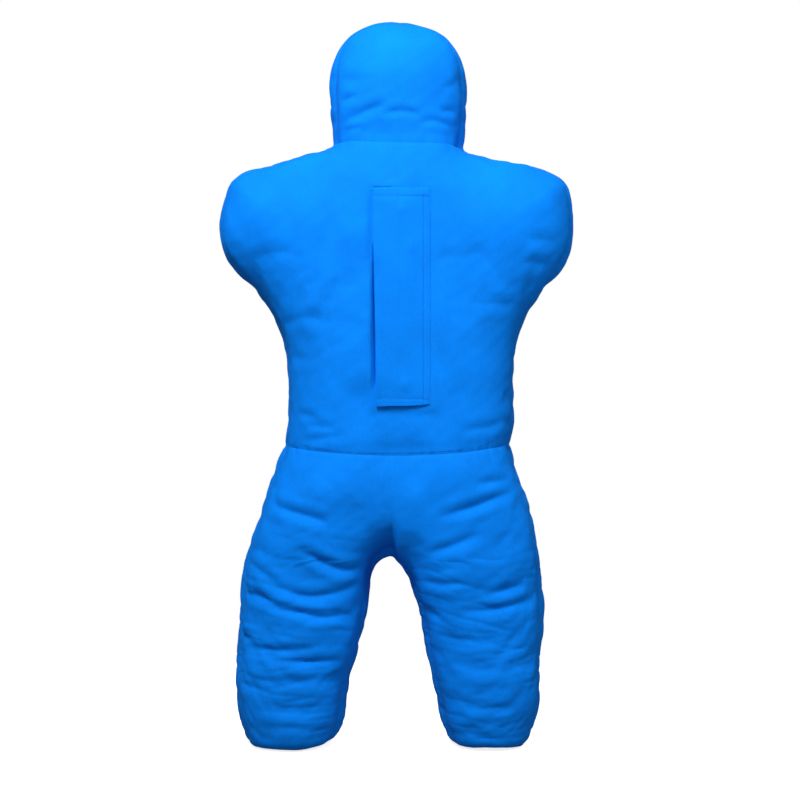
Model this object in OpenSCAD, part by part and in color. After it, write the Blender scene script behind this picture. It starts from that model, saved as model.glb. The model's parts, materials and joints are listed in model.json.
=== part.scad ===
/* [Body heights] */
// Height of the hip fold above the leg ends
leg_h = 330; // [240:1:420]
// Height from the hip fold to the waist fold
seat_h = 205; // [170:1:260]
// Height from the waist fold to the neck fold
torso_h = 480; // [440:1:580]
// Height from the neck fold to the crown
head_h = 185; // [150:1:230]

/* [Body widths] */
// Width across the shoulder stubs
shoulder_w = 590; // [490:1:720]
// Width at the waist fold
waist_w = 376; // [310:1:460]
// Width at the hip fold
hip_w = 472; // [400:1:570]
// Width across the outsides of both legs
legs_w = 504; // [480:1:600]
// Gap between the two leg ends
foot_gap = 164; // [130:1:200]
// Width at the neck fold
neck_w = 214; // [180:1:260]
// Width of the head
head_w = 227; // [190:1:275]

/* [Body depths] */
// Depth of the torso and the seat, front to back
torso_d = 208; // [176:1:250]
// Depth of the legs near their ends
foot_d = 172; // [140:1:200]
// Depth of the head
head_d = 188; // [156:1:230]
// Depth at the neck fold
neck_d = 172; // [140:1:210]

/* [Cover] */
// Thickness of the canvas cover with its lining
skin_t = 2; // [1.5:0.1:3]
// Width of the side strips between the back and front panels
gusset_w = 70; // [58:1:84]
// Squareness of the stuffed sections, 2 being an ellipse
squareness = 2.9; // [2.4:0.1:3.5]
// Gap between the cover and the filling
fill_gap = 0.5; // [0.2:0.1:1]
// Thickness of the leg end discs
sole_t = 6; // [4:1:10]
// Height of the rounding above each leg end disc
sole_round = 14; // [8:1:20]

/* [Folds] */
// How far the head nods forward
nod_front = 30; // [15:1:35]
// How far the head tips back
nod_back = 15; // [5:1:20]
// How far the waist bends forward
bend_front = 20; // [10:1:24]
// How far the waist bends back
bend_back = 8; // [4:1:12]
// How far a leg swings forward
swing_front = 45; // [30:1:48]
// How far a leg swings back
swing_back = 15; // [8:1:20]
// Radius of the roll of loose filling in each fold
roll_r = 40; // [32:1:48]

/* [Closure] */
// Length of the closure flap
flap_l = 350; // [300:1:370]
// Width of the free part of the flap
flap_w = 81; // [60:1:100]
// Width of the sewn margin of the flap
flap_margin = 10; // [8:1:14]
// Thickness of one ply of the flap
flap_ply = 1.2; // [0.8:0.1:2]
// Gap under the closed flap
flap_lift = 5; // [4.6:0.1:8]
// Height of the flap's lower edge above the waist fold
flap_up = 24; // [16:1:40]
// Distance from the zip to the flap's stitched line
flap_off = 41; // [34:1:50]
// Length of the zip's row of teeth
zip_l = 306; // [250:1:320]
// Width of each zip tape
tape_w = 14; // [11:1:18]
// Thickness of the zip tape
tape_t = 0.8; // [0.5:0.1:1.2]
// Distance between neighbouring teeth
tooth_pitch = 4; // [3:0.5:6]
// Width of one row of teeth
tooth_w = 2.6; // [2:0.1:4]
// Thickness of the teeth
tooth_t = 2.8; // [2:0.1:3.5]
// Width of the slit in the back panel
slit_w = 14; // [13:1:20]
// Length of the slider
slider_l = 16; // [12:1:22]
// Width of the slider
slider_w = 11; // [10:0.5:12.5]
// Thickness of each slider plate
plate_t = 1.4; // [1:0.1:2]
// Length of the pull tab below its rivet
pull_l = 36; // [24:1:46]
// Width of the pull tab
pull_w = 8; // [6:0.5:11]
// Thickness of the pull tab
pull_t = 1.2; // [0.8:0.1:1.6]
// Radius of the rivet that holds the pull tab
rivet_r = 1; // [0.8:0.1:1.5]

/* [Hidden] */

// Heights of the three folds
hip_z = leg_h;
waist_z = hip_z + seat_h;
neck_z = waist_z + torso_h;
// Gap left between two bodies along a fold's axis, on each side
fold_gap = 0.6;
// Extra angle that each fold leaves open past its travel
fold_spare = 3;
// Running gap round each roll
roll_gap = 0.4;
// Gap between the two legs above the crotch, on each side
leg_gap = 0.6;
// Number of steps across a panel, across a gusset and round a whole section
panel_steps = 14;
gusset_steps = 4;
ring_steps = 2 * (panel_steps + gusset_steps);

// The value a share f of the way from a to b
function mix(a, b, f) = a + (b - a) * f;
function spow(v, p) = sign(v) * pow(abs(v), p);

// Rows are [height, centre x, half-width, half-depth], from the bottom up.
// The torso: [share of height, share of the flare], widening from the waist to the shoulders
// and narrowing from the shoulders to the neck.
torso_flare = [[0, 0], [0.125, 0.01], [0.25, 0.06], [0.335, 0.17], [0.417, 0.4], [0.5, 0.7],
    [0.585, 0.92], [0.69, 1]];
torso_slope = [[0.76, 0.978], [0.802, 0.95], [0.842, 0.88], [0.883, 0.61], [0.925, 0.24],
    [0.965, 0.02], [1, 0]];
torso_rows = concat(
    [for (s = torso_flare) [waist_z + torso_h * s[0], 0,
        mix(waist_w, shoulder_w, s[1]) / 2, torso_d / 2]],
    [for (s = torso_slope) [neck_z - torso_h * (1 - s[0]), 0,
        mix(neck_w, shoulder_w, s[1]) / 2, mix(neck_d, torso_d, pow(s[1], 0.6)) / 2]]);

// The seat: [share of height, share of the narrowing from the hips to the waist]
seat_narrow = [[0, 0], [0.14, 0.1], [0.24, 0.2], [0.34, 0.31], [0.44, 0.46], [0.54, 0.62],
    [0.64, 0.78], [0.76, 0.91], [0.88, 0.97], [1, 1]];
seat_rows = [for (s = seat_narrow) [hip_z + seat_h * s[0], 0,
    mix(hip_w, waist_w, s[1]) / 2, torso_d / 2]];

// One leg: [share of height below the hip fold, share of the way out to the widest place,
// share of the gap between the leg ends]
leg_shape = [[0, 0, 0], [0.05, 0.2, 0.04], [0.1, 0.5, 0.21], [0.16, 0.69, 0.35], [0.28, 0.9, 0.48],
    [0.4, 1, 0.57], [0.52, 0.97, 0.69], [0.645, 0.96, 0.82], [0.77, 0.93, 0.91]];
leg_end = [0.45, 1];
rim_z = sole_t + sole_round;
function leg_outer(f) = mix(hip_w, legs_w, f) / 2;
function leg_inner(f) = mix(leg_gap * 2, foot_gap, f) / 2;
function leg_row(z, outer, inner, d) = [z, (outer + inner) / 2, (outer - inner) / 2, d];
sole_outer = leg_outer(leg_end[0]) - sole_round * 0.7;
sole_inner = leg_inner(leg_end[1]) + sole_round * 0.7;
leg_rows = concat(
    [leg_row(sole_t, sole_outer, sole_inner, (foot_d - sole_round * 1.4) / 2)],
    [leg_row(rim_z, leg_outer(leg_end[0]), leg_inner(leg_end[1]), foot_d / 2)],
    [for (k = [len(leg_shape) - 1 : -1 : 0]) let (s = leg_shape[k])
        leg_row(mix(hip_z, rim_z, s[0]), leg_outer(s[1]), leg_inner(s[2]),
            mix(torso_d, foot_d, pow(s[0], 0.8)) / 2)]);

// The head: [share of height, share of width], rounding over to the crown
head_shape = [[0, 0], [0.12, 0.4], [0.26, 0.85], [0.38, 1], [0.49, 0.95]];
crown_shape = [[0.57, 0.955], [0.67, 0.905], [0.78, 0.83], [0.886, 0.685], [0.946, 0.5],
    [0.984, 0.28], [1, 0.006]];
head_rows = concat(
    [for (s = head_shape) [neck_z + head_h * s[0], 0, mix(neck_w, head_w, s[1]) / 2,
        mix(neck_d, head_d, s[1]) / 2]],
    [for (s = crown_shape) [neck_z + head_h * s[0], 0, head_w * s[1] / 2,
        mix(gusset_w * 1.03, head_d, pow(s[1], 0.8)) / 2]]);

// A row set pulled inwards by t along the outline's own normal, level at both ends
function pulled_in(rows, t) = [for (k = [0 : len(rows) - 1])
    let (a = rows[max(k - 1, 0)], b = rows[min(k + 1, len(rows) - 1)], r = rows[k],
        flat = k == 0 || (k == len(rows) - 1 && r[2] > t * 4),
        run = [b[2] - a[2], b[0] - a[0]], n = flat ? [0, 1] : run / norm(run))
    [r[0] + t * n[0], r[1], max(r[2] - t * n[1], 0.3), r[3] - t * n[1]]];

// Folds: [height of the fold, angle left open in front, angle left open behind, reach of the
// slope along the body, +1 for the body above it or -1 for the body below it]
function half_open(angle) = (angle + fold_spare) / 2;
hip_top = [hip_z, half_open(swing_front) + 4, half_open(swing_back), leg_h * 0.4, -1];
hip_under = [hip_z, half_open(swing_front) - 4, half_open(swing_back), seat_h * 0.45, 1];
waist_top = [waist_z, half_open(bend_front), half_open(bend_back), seat_h * 0.45, -1];
waist_under = [waist_z, half_open(bend_front), half_open(bend_back), torso_h * 0.2, 1];
neck_top = [neck_z, half_open(nod_front) + 2, half_open(nod_back), torso_h * 0.16, -1];
neck_under = [neck_z, half_open(nod_front), half_open(nod_back), head_h * 0.5, 1];

// A point's shift in height next to one fold
function fold_shift(z, y, fold) =
    let (away = (z - fold[0]) * fold[4], open = y > 0 ? fold[1] : fold[2],
        share = max(0, 1 - away / fold[3]))
    fold[4] * (fold_gap + abs(y) * tan(open)) * share;
function folded(p, folds) = [p[0], p[1], p[2] + (len(folds) == 0 ? 0
    : [for (f = folds) fold_shift(p[2], p[1], f)] * [for (f = folds) 1])];

// A point on a stuffed section, at angle a from +X
function on_section(row, a) = [row[1] + row[2] * spow(cos(a), 2 / squareness),
    row[3] * spow(sin(a), 2 / squareness), row[0]];
// The angle at which a section meets the edge of its side strip
function seam_angle(row) = asin(min(1, pow(gusset_w / 2 / row[3], squareness / 2)));

// The ends of each cover piece, as a start and an end angle
function span_of(row, side) = let (s = seam_angle(row))
    side == "front" ? [s, 180 - s] : side == "back" ? [180 + s, 360 - s]
    : side == "right" ? [-s, s] : [180 - s, 180 + s];

function steps_of(side) = side == "front" || side == "back" ? panel_steps : gusset_steps;

function cover_grid(rows, side, folds) = [for (r = rows) let (e = span_of(r, side), steps = steps_of(side))
    [for (j = [0 : steps]) folded(on_section(r, mix(e[0], e[1], j / steps)), folds)]];

// A whole section in the same steps as its four cover pieces, so that a filling's flats lie along
// the cover's flats
function ring(row) = [for (side = ["right", "front", "left", "back"])
    let (e = span_of(row, side), steps = steps_of(side))
        for (j = [0 : steps - 1]) on_section(row, mix(e[0], e[1], j / steps))];

// Two triangles of a grid's cell, seen from outside
function cell(a, b, c, d) = [[a, b, c], [a, c, d]];

// A cover piece of thickness skin_t over one side of the rows
module cover(rows, side, folds) {
    outer = cover_grid(rows, side, folds);
    inner = cover_grid(pulled_in(rows, skin_t), side, folds);
    m = len(rows);
    n = steps_of(side) + 1;
    half = m * n;
    points = concat([for (r = outer) for (p = r) p], [for (r = inner) for (p = r) p]);
    faces = [
        for (i = [0 : m - 2]) for (j = [0 : n - 2]) let (a = i * n + j)
            for (t = cell(a, a + n, a + n + 1, a + 1)) t,
        for (i = [0 : m - 2]) for (j = [0 : n - 2]) let (a = half + i * n + j)
            for (t = cell(a, a + 1, a + n + 1, a + n)) t,
        for (j = [0 : n - 2]) for (t = cell(j, j + 1, half + j + 1, half + j)) t,
        for (j = [0 : n - 2]) let (a = (m - 1) * n + j)
            for (t = cell(a, half + a, half + a + 1, a + 1)) t,
        for (i = [0 : m - 2]) let (a = i * n)
            for (t = cell(a, half + a, half + a + n, a + n)) t,
        for (i = [0 : m - 2]) let (a = i * n + n - 1)
            for (t = cell(a, a + n, half + a + n, half + a)) t];
    polyhedron(points, faces);
}

// The closed filling inside the rows, with ends that follow the folds. The last few rows, over
// a closed crown, are left out.
module filling(rows, folds, left_out = 0) {
    inset = pulled_in(rows, skin_t + fill_gap);
    n = ring_steps;
    q = n / 4;
    m = len(rows) - left_out;
    top = (m - 1) * n;
    points = [for (i = [0 : m - 1]) for (p = ring(inset[i])) folded(p, folds)];
    function right(k) = (gusset_steps / 2 + k + n) % n;
    function left(k) = (gusset_steps / 2 + n / 2 - k + n) % n;
    faces = [
        for (i = [0 : m - 2]) for (j = [0 : n - 1])
            let (a = i * n + j, b = i * n + (j + 1) % n) for (t = cell(a, a + n, b + n, b)) t,
        [right(-q), right(1 - q), left(1 - q)],
        [right(q), left(q - 1), right(q - 1)],
        for (k = [1 - q : q - 2]) for (t = cell(right(k), right(k + 1), left(k + 1), left(k))) t,
        [top + right(-q), top + left(1 - q), top + right(1 - q)],
        [top + right(q), top + right(q - 1), top + left(q - 1)],
        for (k = [1 - q : q - 2])
            for (t = cell(top + right(k), top + left(k), top + left(k + 1), top + right(k + 1))) t];
    polyhedron(points, faces);
}

// A cylinder along X between x0 and x1 at height z
module roll(x0, x1, z, r) translate([x0, 0, z]) rotate([0, 90, 0]) cylinder(h = x1 - x0, r = r, $fn = 64);

// Where the rolls end, inside the covers. A hip roll starts where the inside of the leg clears it.
roll_end = 14;
neck_roll_x = neck_w / 2 - roll_end;
waist_roll_x = waist_w / 2 - roll_end;
inside_of_leg = [for (s = leg_shape) [s[0], s[2]]];
hip_roll_x0 = leg_inner(lookup((roll_r + fold_gap) / (hip_z - rim_z), inside_of_leg)) + skin_t + 4;
hip_roll_x1 = hip_w / 2 - roll_end;

// Room for a roll in the filling next to it
module roll_room(x0, x1, z) roll(x0 - 1, x1 + 1, z, roll_r + roll_gap);

// Layers of the closure, from the back panel's outer face outwards and inwards
back_y = -torso_d / 2;
flap_inner_y = back_y - flap_lift;
flap_mid_y = flap_inner_y - flap_ply;
flap_outer_y = flap_mid_y - flap_ply;
tape_gap = 1;
tape_y = back_y + skin_t + tape_gap;
teeth_mid_y = tape_y + tape_t / 2;
slider_gap = 0.35;
slider_out_y = teeth_mid_y - tooth_t / 2 - slider_gap - plate_t;
slider_in_y = teeth_mid_y + tooth_t / 2 + slider_gap + plate_t;
guard_t = 1;
guard_y = slider_in_y + 1.2;
recess_y = guard_y + guard_t + fill_gap;
flap_z = waist_z + flap_up;
zip_z = flap_z + 24;
zip_top = zip_z + zip_l;
stop_h = 4;
slot_half = 0.8;
tape_in = slot_half + tooth_w * 0.65;
slit_over = 8;
tape_over = 5;
slider_top = zip_top - 2;
rivet_z = slider_top - slider_l * 0.42;
rivet_gap = 0.05;
pull_gap = 0.2;
pull_over = 0.5;
pull_y = min(slider_out_y - pull_gap, back_y - pull_over);
head_y = pull_y - pull_t - pull_gap;

// The hollow behind the slit that holds the tapes, the teeth and the slider
module zip_room() {
    w = slit_w / 2 + tape_w;
    translate([-w, back_y - 1, zip_z - slit_over - tape_over])
        cube([w * 2, recess_y - back_y + 1, zip_l + 2 * (slit_over + tape_over)]);
}

module torso_filling() color("gainsboro") difference() {
    filling(torso_rows, [waist_under, neck_top]);
    zip_room();
    roll_room(-neck_roll_x, neck_roll_x, neck_z);
    roll_room(-waist_roll_x, waist_roll_x, waist_z);
}

module torso_back_panel() color("dodgerblue") difference() {
    cover(torso_rows, "back", [waist_under, neck_top]);
    translate([-slit_w / 2, back_y - 1, zip_z - slit_over])
        cube([slit_w, skin_t + 2, zip_l + 2 * slit_over]);
}

module torso_front_panel() color("dodgerblue") cover(torso_rows, "front", [waist_under, neck_top]);
module torso_gusset_left() color("royalblue") cover(torso_rows, "left", [waist_under, neck_top]);
module torso_gusset_right() color("royalblue") cover(torso_rows, "right", [waist_under, neck_top]);

module neck_roll() color("gainsboro") roll(-neck_roll_x, neck_roll_x, neck_z, roll_r);
module waist_roll() color("gainsboro") roll(-waist_roll_x, waist_roll_x, waist_z, roll_r);

// The sewn margin stands on the back panel as a folded hem, as thick as the flap lies high
module flap_margin_strip() color("dodgerblue")
    translate([flap_off + 0.6, flap_outer_y, flap_z])
        cube([flap_margin - 0.6, back_y - flap_outer_y - 0.05, flap_l]);

module flap_ply_plate(y) translate([flap_off - flap_w, y, flap_z]) cube([flap_w - 0.6, flap_ply, flap_l]);
module flap_outer_ply() color("dodgerblue") flap_ply_plate(flap_outer_y);
module flap_inner_ply() color("royalblue") flap_ply_plate(flap_mid_y);

// One zip tape, from the edge of the teeth outwards; side is +1 or -1
module zip_tape(side) mirror([side > 0 ? 0 : 1, 0, 0])
    translate([tape_in + 0.05, tape_y + 0.05, zip_z - tape_over - 1])
        cube([slit_w / 2 + tape_w - 1 - tape_in, tape_t - 0.1, zip_l + 2 * tape_over + 2]);

// One row of teeth on a cord, cut as a comb
module zip_teeth(side) {
    count = floor(zip_l / tooth_pitch);
    cord_w = tooth_w / 2;
    root = slot_half + tooth_w;
    comb = concat([[root, 0], [root, count * tooth_pitch], [root - cord_w, count * tooth_pitch]],
        [for (k = [count - 1 : -1 : 0]) for (p = [[cord_w, 1], [tooth_w, 0.75], [tooth_w, 0.25],
            [cord_w, 0]]) [root - p[0], (k + p[1]) * tooth_pitch]]);
    mirror([side > 0 ? 0 : 1, 0, 0]) difference() {
        translate([0, teeth_mid_y + tooth_t / 2, zip_z]) rotate([90, 0, 0])
            linear_extrude(tooth_t) polygon(comb);
        translate([tape_in, tape_y, zip_z - 1]) cube([tooth_w, tape_t, zip_l + 2]);
    }
}

module zip_tape_left() color("navy") zip_tape(-1);
module zip_tape_right() color("navy") zip_tape(1);
module zip_teeth_left() color("midnightblue") zip_teeth(-1);
module zip_teeth_right() color("midnightblue") zip_teeth(1);

// A metal clip round the end of one tape, above the teeth
module zip_top_stop(side) mirror([side > 0 ? 0 : 1, 0, 0]) difference() {
    translate([slot_half, teeth_mid_y - tooth_t / 2, zip_top + 0.4]) cube([tooth_w + 0.8, tooth_t, stop_h]);
    translate([tape_in, tape_y, zip_top - 1]) cube([tooth_w + 2, tape_t, stop_h + 4]);
}
module zip_top_stop_left() color("silver") zip_top_stop(-1);
module zip_top_stop_right() color("silver") zip_top_stop(1);

// A metal clip that joins both rows below the teeth
module zip_bottom_stop() color("silver") {
    w = slot_half + tooth_w / 2;
    translate([-w, teeth_mid_y - tooth_t / 2, zip_z - stop_h - 0.4]) cube([w * 2, tooth_t, stop_h]);
}

// A cloth strip behind the teeth that keeps the filling out of them
module zip_guard() color("royalblue") {
    w = slit_w / 2 + tape_w - 2;
    translate([-w, guard_y, zip_z - slit_over]) cube([w * 2, guard_t, zip_l + 2 * slit_over]);
}

module head_filling() color("gainsboro") difference() {
    filling(head_rows, [neck_under], 1);
    roll_room(-neck_roll_x, neck_roll_x, neck_z);
}
module head_back_panel() color("dodgerblue") cover(head_rows, "back", [neck_under]);
module head_front_panel() color("dodgerblue") cover(head_rows, "front", [neck_under]);
module head_gusset_left() color("royalblue") cover(head_rows, "left", [neck_under]);
module head_gusset_right() color("royalblue") cover(head_rows, "right", [neck_under]);

module seat_filling() color("gainsboro") difference() {
    filling(seat_rows, [hip_under, waist_top]);
    roll_room(-waist_roll_x, waist_roll_x, waist_z);
    roll_room(-hip_roll_x1, -hip_roll_x0, hip_z);
    roll_room(hip_roll_x0, hip_roll_x1, hip_z);
}
module seat_back_panel() color("dodgerblue") cover(seat_rows, "back", [hip_under, waist_top]);
module seat_front_panel() color("dodgerblue") cover(seat_rows, "front", [hip_under, waist_top]);
module seat_gusset_left() color("royalblue") cover(seat_rows, "left", [hip_under, waist_top]);
module seat_gusset_right() color("royalblue") cover(seat_rows, "right", [hip_under, waist_top]);
module hip_roll_left() color("gainsboro") roll(-hip_roll_x1, -hip_roll_x0, hip_z, roll_r);
module hip_roll_right() color("gainsboro") roll(hip_roll_x0, hip_roll_x1, hip_z, roll_r);

// The right leg's pieces; the left leg mirrors them
module leg_filling() difference() {
    filling(leg_rows, [hip_top]);
    roll_room(hip_roll_x0, hip_roll_x1, hip_z);
}
module leg_cover(side) cover(leg_rows, side, [hip_top]);
module leg_sole() linear_extrude(sole_t - 0.05)
    polygon([for (p = ring(leg_rows[0])) [p[0], p[1]]]);
module to_left() mirror([1, 0, 0]) children();

module left_leg_filling() color("gainsboro") to_left() leg_filling();
module left_leg_back_panel() color("dodgerblue") to_left() leg_cover("back");
module left_leg_front_panel() color("dodgerblue") to_left() leg_cover("front");
module left_leg_outer_gusset() color("royalblue") to_left() leg_cover("right");
module left_leg_inner_gusset() color("royalblue") to_left() leg_cover("left");
module left_leg_sole() color("royalblue") to_left() leg_sole();
module right_leg_filling() color("gainsboro") leg_filling();
module right_leg_back_panel() color("dodgerblue") leg_cover("back");
module right_leg_front_panel() color("dodgerblue") leg_cover("front");
module right_leg_outer_gusset() color("royalblue") leg_cover("right");
module right_leg_inner_gusset() color("royalblue") leg_cover("left");
module right_leg_sole() color("royalblue") leg_sole();

// The slider: two plates joined by a post that runs between the rows of teeth
module slider_body() color("silver") {
    z0 = slider_top - slider_l;
    post_h = slider_l * 0.35;
    post_w = slot_half * 2 - 0.6;
    translate([-slider_w / 2, slider_out_y, z0]) cube([slider_w, plate_t, slider_l]);
    translate([-slider_w / 2, slider_in_y - plate_t, z0]) cube([slider_w, plate_t, slider_l]);
    translate([-post_w / 2, slider_out_y + plate_t, slider_top - post_h])
        cube([post_w, slider_in_y - slider_out_y - 2 * plate_t, post_h]);
}

// The rivet that the pull tab swings on
module pull_rivet() color("silver") {
    translate([0, slider_out_y, rivet_z]) rotate([90, 0, 0])
        cylinder(h = slider_out_y - head_y, r = rivet_r, $fn = 32);
    translate([0, head_y, rivet_z]) rotate([90, 0, 0]) cylinder(h = 0.8, r = rivet_r * 2.2, $fn = 32);
}

module pull_tab() color("silver") difference() {
    translate([0, pull_y, rivet_z]) rotate([90, 0, 0]) linear_extrude(pull_t) union() {
        circle(d = pull_w, $fn = 48);
        translate([-pull_w / 2, -pull_l]) square([pull_w, pull_l]);
    }
    translate([0, pull_y + 1, rivet_z]) rotate([90, 0, 0])
        cylinder(h = pull_t + 2, r = rivet_r + rivet_gap, $fn = 32);
}

torso_filling();
torso_back_panel();
torso_front_panel();
torso_gusset_left();
torso_gusset_right();
neck_roll();
waist_roll();
flap_margin_strip();
zip_tape_left();
zip_tape_right();
zip_teeth_left();
zip_teeth_right();
zip_top_stop_left();
zip_top_stop_right();
zip_bottom_stop();
zip_guard();
head_filling();
head_back_panel();
head_front_panel();
head_gusset_left();
head_gusset_right();
seat_filling();
seat_back_panel();
seat_front_panel();
seat_gusset_left();
seat_gusset_right();
hip_roll_left();
hip_roll_right();
left_leg_filling();
left_leg_back_panel();
left_leg_front_panel();
left_leg_outer_gusset();
left_leg_inner_gusset();
left_leg_sole();
right_leg_filling();
right_leg_back_panel();
right_leg_front_panel();
right_leg_outer_gusset();
right_leg_inner_gusset();
right_leg_sole();
flap_outer_ply();
flap_inner_ply();
slider_body();
pull_rivet();
pull_tab();
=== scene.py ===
"""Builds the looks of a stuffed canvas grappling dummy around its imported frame."""

import json
import math

import bmesh
import bpy
import numpy as np
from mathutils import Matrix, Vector
from mathutils.bvhtree import BVHTree


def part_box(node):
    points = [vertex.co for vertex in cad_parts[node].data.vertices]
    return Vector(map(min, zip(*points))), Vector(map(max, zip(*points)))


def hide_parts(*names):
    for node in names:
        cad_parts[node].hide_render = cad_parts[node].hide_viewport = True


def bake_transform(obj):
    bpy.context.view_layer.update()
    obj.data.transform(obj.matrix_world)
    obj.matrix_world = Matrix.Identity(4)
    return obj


bl_info = {
    "name": "Grappling Dummy",
    "version": (1, 0, 0),
    "blender": (4, 5, 0),
    "location": "View3D > Sidebar > Dummy",
    "description": "Builds a stuffed canvas grappling dummy with sewn panels, a back flap and a zip",
    "category": "Add Mesh",
}

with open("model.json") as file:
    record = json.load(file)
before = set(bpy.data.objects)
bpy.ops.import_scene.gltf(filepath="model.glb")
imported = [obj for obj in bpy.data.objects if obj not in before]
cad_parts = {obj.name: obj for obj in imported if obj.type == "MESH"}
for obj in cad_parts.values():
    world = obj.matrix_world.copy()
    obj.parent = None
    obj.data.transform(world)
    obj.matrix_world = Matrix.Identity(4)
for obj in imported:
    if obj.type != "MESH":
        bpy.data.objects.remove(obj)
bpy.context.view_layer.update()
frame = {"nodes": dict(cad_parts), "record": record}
MM = 0.001

# Outlines of the stuffed dummy seen from behind, in millimetres: (across, up).
# Left and right are drawn apart, because a hand-filled cover is never quite even.
TORSO_RIGHT = [(187, 496), (193, 545), (194, 610), (197, 665), (212, 708), (243, 752), (270, 785),
               (287, 820), (292, 868), (287, 912), (272, 938), (222, 959), (152, 973), (118, 983),
               (109, 991)]
TORSO_LEFT = [(-191, 496), (-184, 545), (-181, 605), (-187, 655), (-203, 698), (-237, 750), (-267, 783),
              (-289, 820), (-297, 868), (-291, 908), (-276, 937), (-226, 958), (-162, 977),
              (-116, 988), (-108, 996)]
HEAD_RIGHT = [(109, 991), (110, 1025), (113, 1062), (112, 1098), (107, 1128), (94, 1157), (74, 1178),
              (42, 1192), (0, 1197)]
HEAD_LEFT = [(-108, 996), (-109, 1025), (-113, 1062), (-113, 1098), (-107, 1130), (-94, 1158),
             (-75, 1178), (-43, 1192), (0, 1197)]
OUTER_RIGHT = [(187, 496), (196, 456), (211, 416), (223, 376), (230, 336), (236, 290), (241, 240),
               (240, 200), (236, 150), (236, 95), (231, 55), (221, 20)]
OUTER_LEFT = [(-191, 496), (-205, 456), (-220, 416), (-231, 376), (-243, 336), (-256, 290),
              (-263, 240), (-266, 190), (-267, 140), (-268, 90), (-265, 50), (-257, 20)]
CROTCH = (-13, 304)
INNER_RIGHT = [CROTCH, (2, 299), (15, 277), (25, 248), (36, 215), (41, 185), (46, 150), (54, 112),
               (63, 74), (70, 40), (78, 20)]
INNER_LEFT = [CROTCH, (-30, 299), (-42, 277), (-48, 248), (-52, 215), (-58, 185), (-69, 150),
              (-82, 115), (-87, 74), (-90, 40), (-95, 20)]

# Half-depth of the stuffed cover and width of its rounded edge, by height, in millimetres
DEPTH = [(0, 83), (60, 89), (200, 95), (300, 100), (360, 105), (420, 106), (490, 101), (560, 101),
         (700, 103), (850, 105), (930, 101), (975, 93), (1000, 88), (1040, 91), (1100, 94),
         (1150, 90), (1200, 72)]
ROUNDING = [(0, 72), (200, 82), (330, 92), (450, 104), (900, 106), (960, 98), (1000, 86), (1200, 84)]
# How square a panel's rounded edge is: 2 is a quarter ellipse
EDGE_POWER = 2.15
# How far the seams lie inside the outline, and how far the middle of the waist seam sags and of
# the neck seam rises, in millimetres
SEAM_INSET = 7
WAIST_SAG = 15
NECK_RISE = -4
# Which way a seam's own panel lies: 1 is to the left of the line as it is drawn
INWARDS = {"torso_right": 1, "torso_left": -1, "outer_right": -1, "outer_left": 1,
           "inner_right": 1, "inner_left": -1, "head": -1}

# The flap, in metres: the width of its hems, and how far its open edge and its lower edge slant
FLAP_HEM = 0.013
FLAP_SLANT = 0.005
FLAP_TILT = 0.004

# Counts of cells in the cover's grids
PANEL_CELLS = 84
STRIP_CELLS = 10
TORSO_ROWS = 90
SEAT_ROWS = 28
LEG_ROWS = 50
HEAD_CELLS = 40
HEAD_ROWS = 32
SOLE_RINGS = 8

# How the cover is stuffed: cloth frames, how far a wrinkle may stand off the drafted shape in
# millimetres, and how much longer than they stand the legs are cut, below which height
STUFFING_FRAMES = 20
WRINKLE_CAP = 5
LEG_SPARE = 0.05
LEG_TOP = 0.46
STUFFED_CLOTH = {
    "quality": 6, "mass": 0.3, "tension_stiffness": 25, "compression_stiffness": 25,
    "shear_stiffness": 8, "bending_stiffness": 0.35, "tension_damping": 8,
    "compression_damping": 8, "shear_damping": 8, "bending_damping": 0.5, "air_damping": 3,
    "use_pressure": True, "uniform_pressure_force": 1.0, "vertex_group_shrink": "seams",
    "shrink_min": -0.012, "shrink_max": 0.035, "vertex_group_mass": "held", "pin_stiffness": 1.0}

# Uneven filling: (length, height) of its waves. Seam valleys: (depth, width) of the thread's
# groove and of the dip around it, and the deepest that valleys get where seams cross. In metres.
UNEVENNESS = [(0.16, 0.0016), (0.07, 0.0008), (0.028, 0.00028)]
LENGTHWISE_VALLEY = [(0.0016, 0.0042), (0.0012, 0.012)]
CROSSWISE_VALLEY = [(0.0015, 0.003), (0.0018, 0.016)]
DEEPEST_VALLEY = 0.0034
CRINKLE_PITCHES = [0.013, 0.019, 0.027]
# Nothing of the cover goes below this height, so that the leg ends lie flat on the floor
LOWEST = 0.0002

REGIONS = ["torso_back", "torso_front", "torso_strip_left", "torso_strip_right",
           "trouser_back_left", "trouser_back_right", "trouser_front_left", "trouser_front_right",
           "outer_strip_left", "outer_strip_right", "inner_strip_left", "inner_strip_right",
           "sole_left", "sole_right", "head_back", "head_front", "head_strip"]


def srgb(code):
    """Linear red, green, blue and 1 from an sRGB hex code."""
    values = [int(code[k:k + 2], 16) / 255 for k in (1, 3, 5)]
    return tuple(v / 12.92 if v <= 0.04045 else ((v + 0.055) / 1.055) ** 2.4 for v in values) + (1.0,)


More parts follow.
